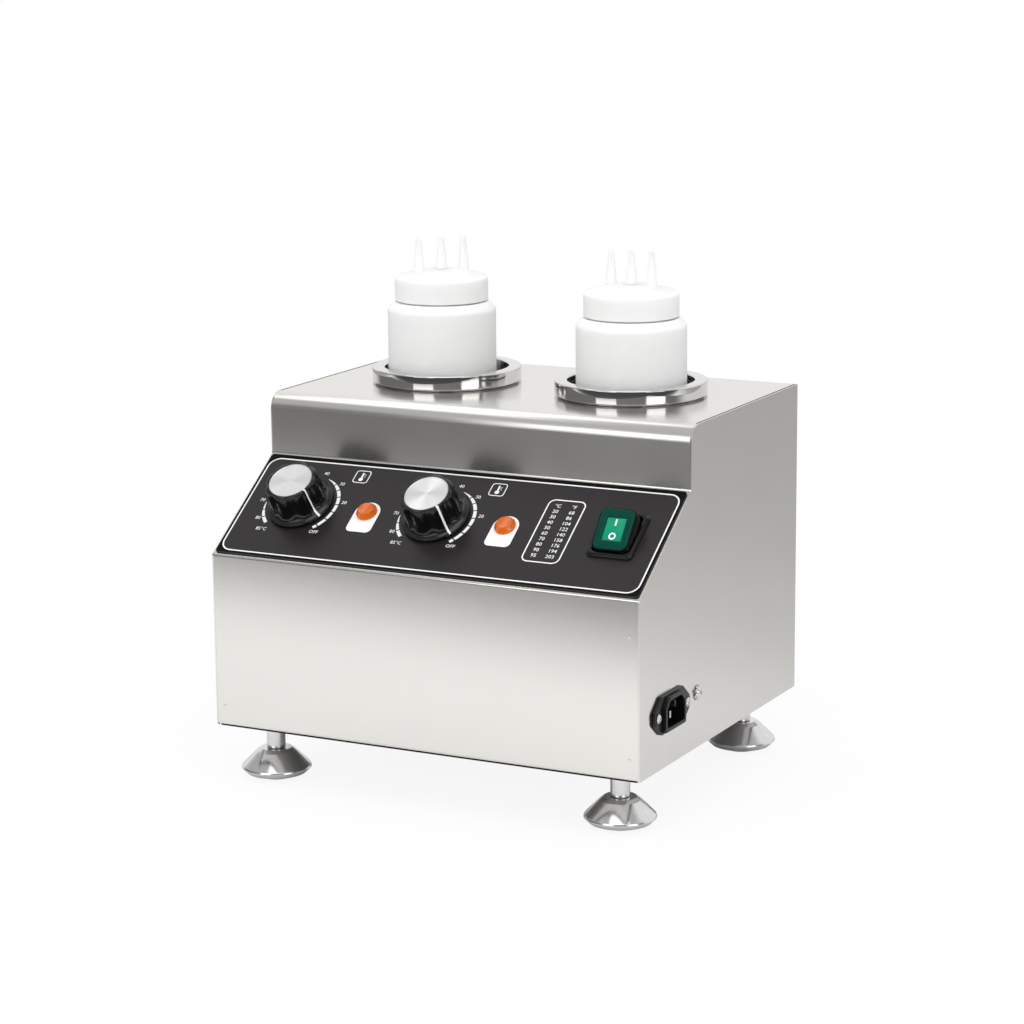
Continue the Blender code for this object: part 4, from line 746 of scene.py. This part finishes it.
# Pieces of the casing
def make_casing():
    """The folded sheet of front, sloped panel and top, with its holes."""
    shape = bmesh.new()
    edge = SHEET + WRAP_SEAM
    rows = [[shape.verts.new((x, y, z)) for x in (edge, casing_width - edge)] for y, z in softened(folds)]
    for (left, right), (next_left, next_right) in zip(rows, rows[1:]):
        shape.faces.new((left, right, next_right, next_left))
    wrap = mesh_object("casing_wrap", shape, brushed_sheet, casing_corner)
    thicken = wrap.modifiers.new("sheet", "SOLIDIFY")
    thicken.thickness = SHEET * MM
    thicken.offset = -1
    thicken.use_even_offset = True
    places = [(rectangle(*SWITCH_HOLE), on_panel(*SWITCH_PLACE))]
    for side in SIDES:
        knob = KNOB_ACROSS[side]
        places.append((disc_outline(WELL_HOLE), above(f"well_collar_{side}", casing_top)))
        places.append((disc_outline(SHAFT_HOLE, SMALL_ROUND), on_panel(knob, KNOB_UP)))
        places.append((disc_outline(LAMP_HOLE, SMALL_ROUND), on_panel(knob + LAMP_FROM_KNOB, LAMP_UP)))
    cutters = []
    for outline, place in places:
        hole = slab(bmesh.new(), outline, -CUT_REACH, CUT_REACH)
        cutters.append(mesh_object("hole", hole, mill_sheet, place))
    fit(carve(wrap, cutters), "casing", "brushed_stainless", "front_top_wrap")


def make_weld_marks():
    """The shallow rings that spot welds leave at the front's corners."""
    marks = bmesh.new()
    rings = [circle(radius, height, SMALL_ROUND) for radius, height in softened(WELD_MARK)]
    for across, height in WELD_MARKS:
        place = Matrix.Translation((across, 0, height)) @ Matrix.Rotation(math.pi / 2, 4, "X")
        skin(marks, [[place @ point for point in ring] for ring in rings])
    fit(mesh_object("front_weld_marks", marks, brushed_sheet, casing_corner), "casing", "brushed_stainless")


def make_seal():
    """Black strips of painted shade: one under the casing's lower edge, and thin ones along the top's two
    seams.
    """
    width = casing_width - 2 * EDGE_SHADE_INSET
    depth = CASING_DEPTH - 2 * EDGE_SHADE_INSET
    outer = rectangle(width, depth, FOLD_RADIUS)
    inner = rectangle(width - 2 * EDGE_SHADE_WIDTH, depth - 2 * EDGE_SHADE_WIDTH, FOLD_RADIUS)
    place = casing_corner @ Matrix.Translation(Vector((casing_width / 2, CASING_DEPTH / 2, 0)) * MM)
    # Painted shade: a black strip below the lower edge, standing for the shade under the sheet's lower fold
    strip = band(bmesh.new(), outer, inner, -EDGE_SHADE_HEIGHT, -INK)
    fit(mesh_object("lower_edge_painted_shade", strip, black_rubber, place), "casing", "black_plastic")
    wide, proud = TOP_SEAM_SHADE
    start = PANEL_RUN + TOP_BEND
    for side, across in (("left", SHEET), ("right", casing_width - SHEET - wide)):
        line = moved(rectangle(wide, CASING_DEPTH - start, 0), across + wide / 2, (CASING_DEPTH + start) / 2)
        # Painted shade: a thin black strip on each top seam, standing for the shade in the seam's gap
        seam_shade = slab(bmesh.new(), line, CASING_HEIGHT - proud, CASING_HEIGHT + proud)
        fit(mesh_object(f"top_seam_painted_shade_{side}", seam_shade, black_ink, casing_corner), "casing", "black_plastic")


# Bottles and feet
def make_bottle(side):
    """A hollow squeeze bottle, and its cap with a row of three bored nozzles."""
    node = f"bottle_{side}"
    low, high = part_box(node)
    height = (high.z - low.z) / MM
    neck = [(radius, height + up, bend) for radius, up, bend in BOTTLE_NECK]
    place = above(node)
    shape = turned([*BOTTLE_INSIDE, *neck, *BOTTLE_FOOT])
    bottle = mesh_object(f"squeeze_bottle_{side}", shape, milky_plastic, place)
    fit(bottle, node, "milky_plastic", node)
    top = Matrix.Translation((place.translation.x, place.translation.y, high.z))
    cap = mesh_object(f"nozzle_cap_{side}", turned(CAP), milky_plastic, top)
    turn = Matrix.Rotation(math.radians(NOZZLE_ROW_DEG[side]), 4, "Z")
    tip = (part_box(f"bottle_cap_{side}")[1].z - high.z) / MM
    nozzles, bores = [], []
    for index, root in NOZZLE_ROOTS.items():
        place = top @ turn @ Matrix.Translation(Vector((index * NOZZLE_PITCH, 0, root)) * MM)
        reach = tip - root
        tall = reach / NOZZLE[-1][1]
        profile = [(radius, rise * tall, bend) for radius, rise, bend in NOZZLE]
        nozzles.append(mesh_object("nozzle", turned(profile, SMALL_ROUND), milky_plastic, place))
        bore = ((BORE_MOUTH, -BORE_DEPTH), (NOZZLE_BORE, reach + BORE_OVERRUN))
        ends = [circle(radius, end, SMALL_ROUND) for radius, end in bore]
        bores.append(mesh_object("bore", skin(bmesh.new(), ends), milky_plastic, place))
    carve(cap, nozzles, "UNION")
    fit(carve(cap, bores), f"cap_{side}", "milky_plastic", f"bottle_cap_{side}")


def make_collar(side):
    """The polished ring round a well."""
    node = f"well_collar_{side}"
    ring = mesh_object(f"polished_collar_{side}", turned(COLLAR, closed=True), buffed_steel, above(node))
    fit(ring, "casing", "polished_stainless", node)


def make_foot(foot):
    """A bell foot, and the stem that screws into the base."""
    place = above(f"foot_pad_{foot}")
    bell = mesh_object(f"foot_bell_{foot}", turned(PAD), chrome, place)
    fit(bell, f"pad_{foot}", "polished_stainless", f"foot_pad_{foot}")
    stem = mesh_object(f"foot_stem_{foot}", turned(STUD, SMALL_ROUND), chrome, place)
    fit(stem, f"stud_{foot}", "polished_stainless", f"foot_stud_{foot}")


# Knobs and lamps
def knob_radius(turn, radius, depth):
    """The knob's radius at a turn, less the depth of the flute there."""
    notch = (1 + math.cos(FLUTES * (turn - math.pi / FLUTES))) / 2
    return radius - depth * notch ** 2


def make_knob(side):
    """A fluted knob with its painted line, and the spun disc let into its top."""
    place = on_panel(KNOB_ACROSS[side], KNOB_UP, FILM_TOP + KNOB_LIFT)
    loops = [[Vector((0, 0, KNOB_RINGS[0][1]))]]
    for radius, height, depth in KNOB_RINGS:
        turns = [2 * math.pi * step / KNOB_STEPS for step in range(KNOB_STEPS)]
        loops.append([Vector((*polar(knob_radius(turn, radius, depth), turn), height)) for turn in turns])
    loops.append([Vector((0, 0, KNOB_RINGS[-1][1]))])
    body = f"knob_{side}"
    knob = mesh_object(f"fluted_knob_{side}", skin(bmesh.new(), loops), black_gloss, place)
    fit(knob, body, "black_plastic", f"knob_{side}")
    fit(make_pointer(side, place), body, "black_plastic")
    seat = place @ Matrix.Translation((0, 0, DISC_LIFT * MM))
    disc = mesh_object(f"spun_disc_{side}", turned(DISC), disc_metal, seat)
    fit(disc, body, "spun_aluminium", f"knob_disc_{side}")


def make_pointer(side, place):
    """The white line from the knob's skirt up its side to the edge of its disc."""
    turn = math.radians(POINTER_DEG[side])
    out = Vector((math.cos(turn), math.sin(turn), 0))
    aside = Vector((-math.sin(turn), math.cos(turn), 0)) * POINTER_WIDTH / 2
    line = [(knob_radius(turn, radius, depth), height) for radius, height, depth in KNOB_RINGS[POINTER_RINGS]]
    loops = []
    for index, (radius, height) in enumerate(line):
        before = Vector(line[max(index - 1, 0)])
        after = Vector(line[min(index + 1, len(line) - 1)])
        along = (after - before).normalized()
        lift = out * along.y - Vector((0, 0, along.x))
        point = out * radius + Vector((0, 0, height))
        low, high = point - lift * POINTER_SUNK, point + lift * POINTER_PROUD
        loops.append([low + aside, low - aside, high - aside, high + aside])
    return mesh_object(f"knob_pointer_{side}", skin(bmesh.new(), loops), line_paint, place)


def make_lens(side):
    """A faceted lens that stands out of the panel."""
    loops = [circle(radius, height, LENS_STEPS) for radius, height in LENS_RINGS]
    place = on_panel(KNOB_ACROSS[side] + LAMP_FROM_KNOB, LAMP_UP, FILM_TOP + SEAM)
    lens = mesh_object(f"faceted_lens_{side}", skin(bmesh.new(), loops), amber_lens, place, FACET_DEG)
    fit(lens, "casing", "amber_lens", f"lamp_lens_{side}")


# Power switch
def make_switch():
    """The switch's frame, and the ribbed boot, face, window and marks that tilt with the rocker."""
    place = on_panel(*SWITCH_PLACE, FILM_TOP + SEAM)
    surround = mesh_object("switch_frame", lofted(FRAME_RINGS), black_rubber, place)
    fit(surround, "casing", "black_plastic", "switch_body")
    tilt = Matrix.Rotation(math.radians(ROCKER_TILT_DEG), 4, "X")
    pivot = on_panel(*SWITCH_PLACE, FILM_TOP + BEZEL) @ tilt
    boot = mesh_object("ribbed_boot", lofted(BOOT_RINGS, ring=True), black_rubber, pivot)
    fit(boot, "rocker", "black_plastic", "switch_cover")
    face = mesh_object("cap_face", lofted(FACE_RINGS, ring=True), cap_silicone, pivot)
    fit(face, "rocker", "clear_cover", "switch_cover")
    window = mesh_object("rocker_window", lofted(WINDOW_RINGS), green_rocker, pivot)
    fit(window, "rocker", "green_rocker")
    bar = bmesh.new()
    stroke(bar, [(0, -MARK_HEIGHT / 2), (0, MARK_HEIGHT / 2)], MARK_WEIGHT, 0)
    ring = bmesh.new()
    stroke(ring, disc_outline(RING_RADIUS, SMALL_ROUND), MARK_WEIGHT, 0, closed=True)
    for name, shape, up in (("on", bar, MARK_UP), ("off", ring, -MARK_UP)):
        spot = pivot @ Matrix.Translation(Vector((0, up, WINDOW_TOP + INK)) * MM)
        fit(mesh_object(f"rocker_{name}_mark", shape, white_ink, spot), "rocker", "green_rocker")


# Mains inlet and screws
def flange_outline(easing):
    """The inlet's flange with an ear at each end, drawn in by an easing."""
    ear, tip, ear_round = INLET_EAR
    waist, half, waist_round = INLET_WAIST
    x, y = ear - easing, tip - easing
    side, end = waist - easing / 2, half - easing
    return softened([
        (-x, -y, ear_round), (-side, -end, waist_round), (side, -end, waist_round), (x, -y, ear_round),
        (x, y, ear_round), (side, end, waist_round), (-side, end, waist_round), (-x, y, ear_round),
    ], closed=True)


def rim_outline(width, height, chamfer, easing=0.0):
    """A rectangle whose two upper corners are cut off, drawn in by an easing."""
    x, y = width / 2 - easing, height / 2 - easing
    corners = ((-x, -y), (x, -y), (x, y - chamfer), (x - chamfer, y), (chamfer - x, y), (-x, y - chamfer))
    return softened([(*corner, INLET_CORNER) for corner in corners], closed=True)


def make_inlet():
    """The inlet's flange and rim as one moulding, with its socket and two screw holes."""
    place = on_right_side(*INLET_PLACE)
    plain, drawn_in = flange_outline(0.0), flange_outline(INLET_EASING)
    top = SEAM + INLET_FLANGE
    edge = INLET_PROUD - INLET_EASING
    deep = INLET_FLOOR - INLET_DEPTH
    flange = skin(bmesh.new(), [level(plain, SEAM), level(plain, top - INLET_EASING), level(drawn_in, top)])
    inlet = mesh_object("inlet_housing", flange, black_nylon, place)
    loops = [
        level(rim_outline(*INLET_RIM), -INLET_DEPTH),
        level(rim_outline(*INLET_RIM), edge),
        level(rim_outline(*INLET_RIM, INLET_EASING), INLET_PROUD),
        level(rim_outline(*INLET_SOCKET, -INLET_EASING), INLET_PROUD),
        level(rim_outline(*INLET_SOCKET), edge),
        level(rim_outline(*INLET_SOCKET), deep),
    ]
    carve(inlet, [mesh_object("inlet_rim", skin(bmesh.new(), loops), black_nylon, place)], "UNION")
    socket = slab(bmesh.new(), rim_outline(*INLET_SOCKET), deep, edge)
    cutters = [mesh_object("socket", socket, black_nylon, place)]
    for back in (-INLET_SCREW_AWAY, INLET_SCREW_AWAY):
        outline = moved(disc_outline(INLET_SCREW_HOLE, SMALL_ROUND), back, 0)
        hole = slab(bmesh.new(), outline, -CUT_REACH, CUT_REACH)
        cutters.append(mesh_object("screw_hole", hole, black_nylon, place))
    fit(carve(inlet, cutters), "casing", "black_plastic", "inlet_body")


def make_earth_screw():
    """A domed screw on a washer with long radial teeth."""
    place = on_right_side(*EARTH_PLACE)
    outline = []
    for tooth in range(EARTH_TEETH):
        for radius, share in EARTH_TOOTH:
            turn = 2 * math.pi * (tooth + share) / EARTH_TEETH
            outline.append(polar(radius, turn))
    screw = mesh_object("earth_screw_dome", turned(EARTH_DOME, SMALL_ROUND), chrome, place)
    washer = mesh_object("washer", slab(bmesh.new(), outline, SEAM, SEAM + EARTH_WASHER), chrome, place)
    carve(screw, [washer], "UNION")
    head = EARTH_DOME[-1][1]
    wide, _, corner = SLOT
    arm = rectangle(wide, EARTH_DOME[-2][0], corner)
    slots = []
    for quarter in (0, math.pi / 2):
        turn = place @ Matrix.Rotation(math.radians(EARTH_SLOT_TURN_DEG) + quarter, 4, "Z")
        slot = slab(bmesh.new(), arm, head - SLOT_DEPTH, head + SLOT_DEPTH)
        slots.append(mesh_object("slot", slot, chrome, turn))
    fit(carve(screw, slots), "casing", "polished_stainless", "earth_screw")


def make_screw(node, axis, head):
    """A pan-head screw with a slot, standing out along an axis."""
    low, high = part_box(node)
    middle = (low + high) / 2
    spans = sorted((high - low) / MM)
    radius, length = spans[0] / 2, spans[2]
    outwards = Vector((axis == "X", axis == "Y", 0))
    profile = [(0, head - length, 0), (radius * SCREW_SHARES[0][0], head - length, 0)]
    profile += [(radius * across, head * up, bend * radius) for across, up, bend in SCREW_SHARES]
    turn = Vector((0, 0, 1)).rotation_difference(outwards).to_matrix().to_4x4()
    place = Matrix.Translation(middle + outwards * (length / 2 - head) * MM) @ turn
    screw = mesh_object(f"slotted_{node}", turned(profile, SCREW_STEPS), chrome, place)
    slot = slab(bmesh.new(), rectangle(*SLOT), head - SLOT_DEPTH, head + SLOT_DEPTH)
    slot_place = place @ Matrix.Rotation(math.radians(SLOT_TURN_DEG), 4, "Z")
    fit(carve(screw, [mesh_object("slot", slot, chrome, slot_place)]), "casing", "polished_stainless", node)


# Print on the film
def make_print():
    """Everything printed white on the film as one thin layer of ink, and the black margin round it."""
    ink = bmesh.new()
    width, height, corner, line = BORDER
    stroke(ink, moved(rectangle(width, height, corner), *BORDER_MIDDLE), line, film_print, closed=True)
    for side in SIDES:
        print_dial(ink, KNOB_ACROSS[side])
        print_tab(ink, KNOB_ACROSS[side] + LAMP_FROM_KNOB)
    for across, up in ICON_PLACES:
        print_icon(ink, across, up)
    print_table(ink)
    fit(mesh_object("panel_print", ink, white_ink, panel), "casing", "printed_film")
    outer = moved(rectangle(*FILM), *FILM_MIDDLE)
    inner = moved(rectangle(width + line, height + line, corner + line / 2), *BORDER_MIDDLE)
    margin = band(bmesh.new(), outer, inner, film_print - INK / 2, film_print + INK / 2)
    fit(mesh_object("film_margin", margin, black_ink, panel), "casing", "printed_film")


def print_dial(ink, across):
    """The bars round a knob and their numbers."""
    for start, end in SCALE_DEG:
        first, last = SCALE_TAPER_SHARES.get(start, (1.0, 1.0))
        points, widths = [], []
        for step in range(SCALE_STEPS):
            share = step / (SCALE_STEPS - 1)
            turn = math.radians(start + (end - start) * share)
            points.append(polar(SCALE_RADIUS, turn, across, KNOB_UP))
            widths.append(SCALE_WIDTH * (first + (last - first) * share))
        stroke(ink, points, widths, film_print)
    for text, degrees, radius in NUMBERS:
        letters(ink, text, *polar(radius, math.radians(degrees), across, KNOB_UP), NUMBER_SIZE)


def print_tab(ink, across):
    """The white field round a lamp, arched at its top."""
    left, right = across - TAB_HALF, across + TAB_HALF
    low, high = LAMP_UP - TAB_LOW, LAMP_UP + TAB_HALF
    printed(ink, softened([
        (left, low, TAB_CORNER), (right, low, TAB_CORNER), (right, high, TAB_ARCH), (left, high, TAB_ARCH),
    ], closed=True))


def print_icon(ink, across, up):
    """A thermometer in a rounded square."""
    width, height, corner, line = ICON
    stroke(ink, moved(rectangle(width, height, corner), across, up), line, film_print, closed=True)
    radius, drop = ICON_BULB
    printed(ink, moved(disc_outline(radius, SMALL_ROUND), across, up + drop))
    thick, low, high = ICON_STEM
    stroke(ink, [(across, up + low), (across, up + high)], thick, film_print)
    thin, start, end = ICON_TICKS
    for tick in ICON_TICK_UPS:
        stroke(ink, [(across + start, up + tick), (across + end, up + tick)], thin, film_print)


def print_table(ink):
    """The frame with degrees Celsius beside degrees Fahrenheit."""
    width, height, corner, line = TABLE
    across, up = TABLE_MIDDLE
    stroke(ink, moved(rectangle(width, height, corner), across, up), line, film_print, closed=True)
    rows = [("°C", "°F")]
    for degrees in CELSIUS:
        rows.append((str(degrees), str(round(degrees * FAHRENHEIT_PER_DEGREE + FAHRENHEIT_AT_ZERO))))
    top = up + TABLE_ROW * (len(rows) - 1) / 2
    for row, (celsius, fahrenheit) in enumerate(rows):
        height = top - TABLE_ROW * row
        letters(ink, celsius, across - TABLE_COLUMN, height, TABLE_TEXT)
        letters(ink, fahrenheit, across + TABLE_COLUMN, height, TABLE_TEXT)


# Floor, light and camera
def make_floor():
    """A white table: the camera sees it white with the object's shadow, the steel sees its tones."""
    span = 2 * FLOOR_HALF / MM
    shape = slab(bmesh.new(), rectangle(span, span, 0), FLOOR_BOTTOM / MM, FLOOR_TOP / MM)
    made = bpy.data.materials.new("white_table")
    made.use_nodes = True
    tree = made.node_tree
    tree.nodes.clear()
    place = add(tree, "ShaderNodeTexCoord", {}).outputs["Object"]
    turn = (0, 0, -math.radians(FLOOR_TURN_DEG))
    aslant = add(tree, "ShaderNodeMapping", {"Vector": place, "Rotation": turn})
    parts = add(tree, "ShaderNodeSeparateXYZ", {"Vector": aslant.outputs[0]})
    first, last = FLOOR_TONES[0][0], FLOOR_TONES[-1][0]
    along = add(tree, "ShaderNodeMapRange", {
        "Value": parts.outputs["Y"], "From Min": first, "From Max": last,
    })
    tones = add(tree, "ShaderNodeValToRGB", {"Fac": along.outputs[0]})
    ramp = tones.color_ramp
    for index, (where, tone) in enumerate(FLOOR_TONES):
        share = (where - first) / (last - first)
        if index in (0, len(FLOOR_TONES) - 1):
            stop = ramp.elements[-1 if index else 0]
        else:
            stop = ramp.elements.new(share)
        stop.color = (tone, tone, tone, 1.0)
    path = add(tree, "ShaderNodeLightPath", {})
    seen = path.outputs["Is Camera Ray"]
    tone = add(tree, "ShaderNodeMix", {
        "Factor": path.outputs["Is Glossy Ray"], "A": [FLOOR_WHITE] * 3 + [1.0], "B": tones.outputs[0],
    }, data_type="RGBA")
    diffuse = add(tree, "ShaderNodeBsdfDiffuse", {"Color": tone.outputs["Result"]})
    white = add(tree, "ShaderNodeEmission", {"Color": (1, 1, 1, 1), "Strength": 1.0})
    away = add(tree, "ShaderNodeVectorMath", {0: place}, operation="LENGTH")
    fade = add(tree, "ShaderNodeMapRange", {
        "Value": away.outputs["Value"], "From Min": FLOOR_WHITE_NEAR[0], "From Max": FLOOR_WHITE_FAR[0],
        "To Min": FLOOR_WHITE_NEAR[1], "To Max": FLOOR_WHITE_FAR[1],
    }, interpolation_type="SMOOTHSTEP")
    share = add(tree, "ShaderNodeMath", {0: seen, 1: fade.outputs[0]}, operation="MULTIPLY")
    both = add(tree, "ShaderNodeMixShader", {0: share.outputs[0], 1: diffuse.outputs[0], 2: white.outputs[0]})
    add(tree, "ShaderNodeOutputMaterial", {"Surface": both.outputs[0]})
    floor = mesh_object("floor", shape, made)
    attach(floor, "pad_front_left")


def make_world():
    """A pale studio: even light on dull surfaces, and for bright metal a white rear and dimmer sides."""
    world = bpy.data.worlds.new("studio")
    bpy.context.scene.world = world
    world.use_nodes = True
    tree = world.node_tree
    tree.nodes.clear()
    way = add(tree, "ShaderNodeTexCoord", {}).outputs["Generated"]
    parts = add(tree, "ShaderNodeSeparateXYZ", {"Vector": way})
    rises = []
    for axis, (start, end) in (("Z", STUDIO_UPPER_FROM), ("Y", STUDIO_REAR_FROM)):
        rises.append(add(tree, "ShaderNodeMapRange", {
            "Value": parts.outputs[axis], "From Min": start, "From Max": end,
        }, interpolation_type="SMOOTHSTEP").outputs[0])
    upper, rear = rises
    front = add(tree, "ShaderNodeMix", {"Factor": upper, "A": STUDIO_SIDES, "B": STUDIO_UPPER})
    room = add(tree, "ShaderNodeMix", {"Factor": rear, "A": front.outputs[0], "B": STUDIO_REAR})
    path = add(tree, "ShaderNodeLightPath", {})
    glossy = add(tree, "ShaderNodeMix", {
        "Factor": path.outputs["Is Glossy Ray"], "A": EVEN_LIGHT, "B": room.outputs[0],
    })
    seen = add(tree, "ShaderNodeMix", {
        "Factor": path.outputs["Is Camera Ray"], "A": glossy.outputs[0], "B": 1.0,
    })
    sky = add(tree, "ShaderNodeBackground", {"Color": (1, 1, 1, 1), "Strength": seen.outputs[0]})
    add(tree, "ShaderNodeOutputWorld", {"Surface": sky.outputs[0]})


def make_softbox(name, place, size, power):
    data = bpy.data.lights.new(f"{name}_softbox", "AREA")
    data.shape = "RECTANGLE"
    data.size, data.size_y = size
    data.energy = power
    made = linked(f"{name}_softbox", data)
    made.location = place
    made.rotation_euler = (Vector(AIM) - Vector(place)).to_track_quat("-Z", "Y").to_euler()


def make_camera():
    data = bpy.data.cameras.new("camera")
    data.lens = CAMERA_LENS
    made = linked("camera", data)
    azimuth, elevation = math.radians(CAMERA_AZIMUTH_DEG), math.radians(CAMERA_ELEVATION_DEG)
    right = Vector((math.cos(azimuth), math.sin(azimuth), 0))
    back = Matrix.Rotation(-elevation, 3, right) @ Vector((math.sin(azimuth), -math.cos(azimuth), 0))
    turned_frame = Matrix((right, back.cross(right), back)).transposed().to_4x4()
    roll = Matrix.Rotation(math.radians(CAMERA_ROLL_DEG), 4, "Z")
    made.matrix_world = Matrix.Translation(CAMERA_PLACE) @ turned_frame @ roll
    bpy.context.scene.camera = made


finish_nodes()
make_casing()
make_weld_marks()
make_seal()
for side in SIDES:
    make_collar(side)
    make_bottle(side)
    make_knob(side)
    make_lens(side)
for foot in FEET:
    make_foot(foot)
make_switch()
make_inlet()
make_earth_screw()
for kind, (axis, head, ends) in SCREWS.items():
    for end in ends:
        make_screw(f"{kind}_{end}", axis, head)
make_print()
make_floor()
make_world()
for name, (place, size, power) in SOFTBOXES.items():
    make_softbox(name, place, size, power)
make_camera()

bpy.context.scene.view_settings.view_transform = "Standard"
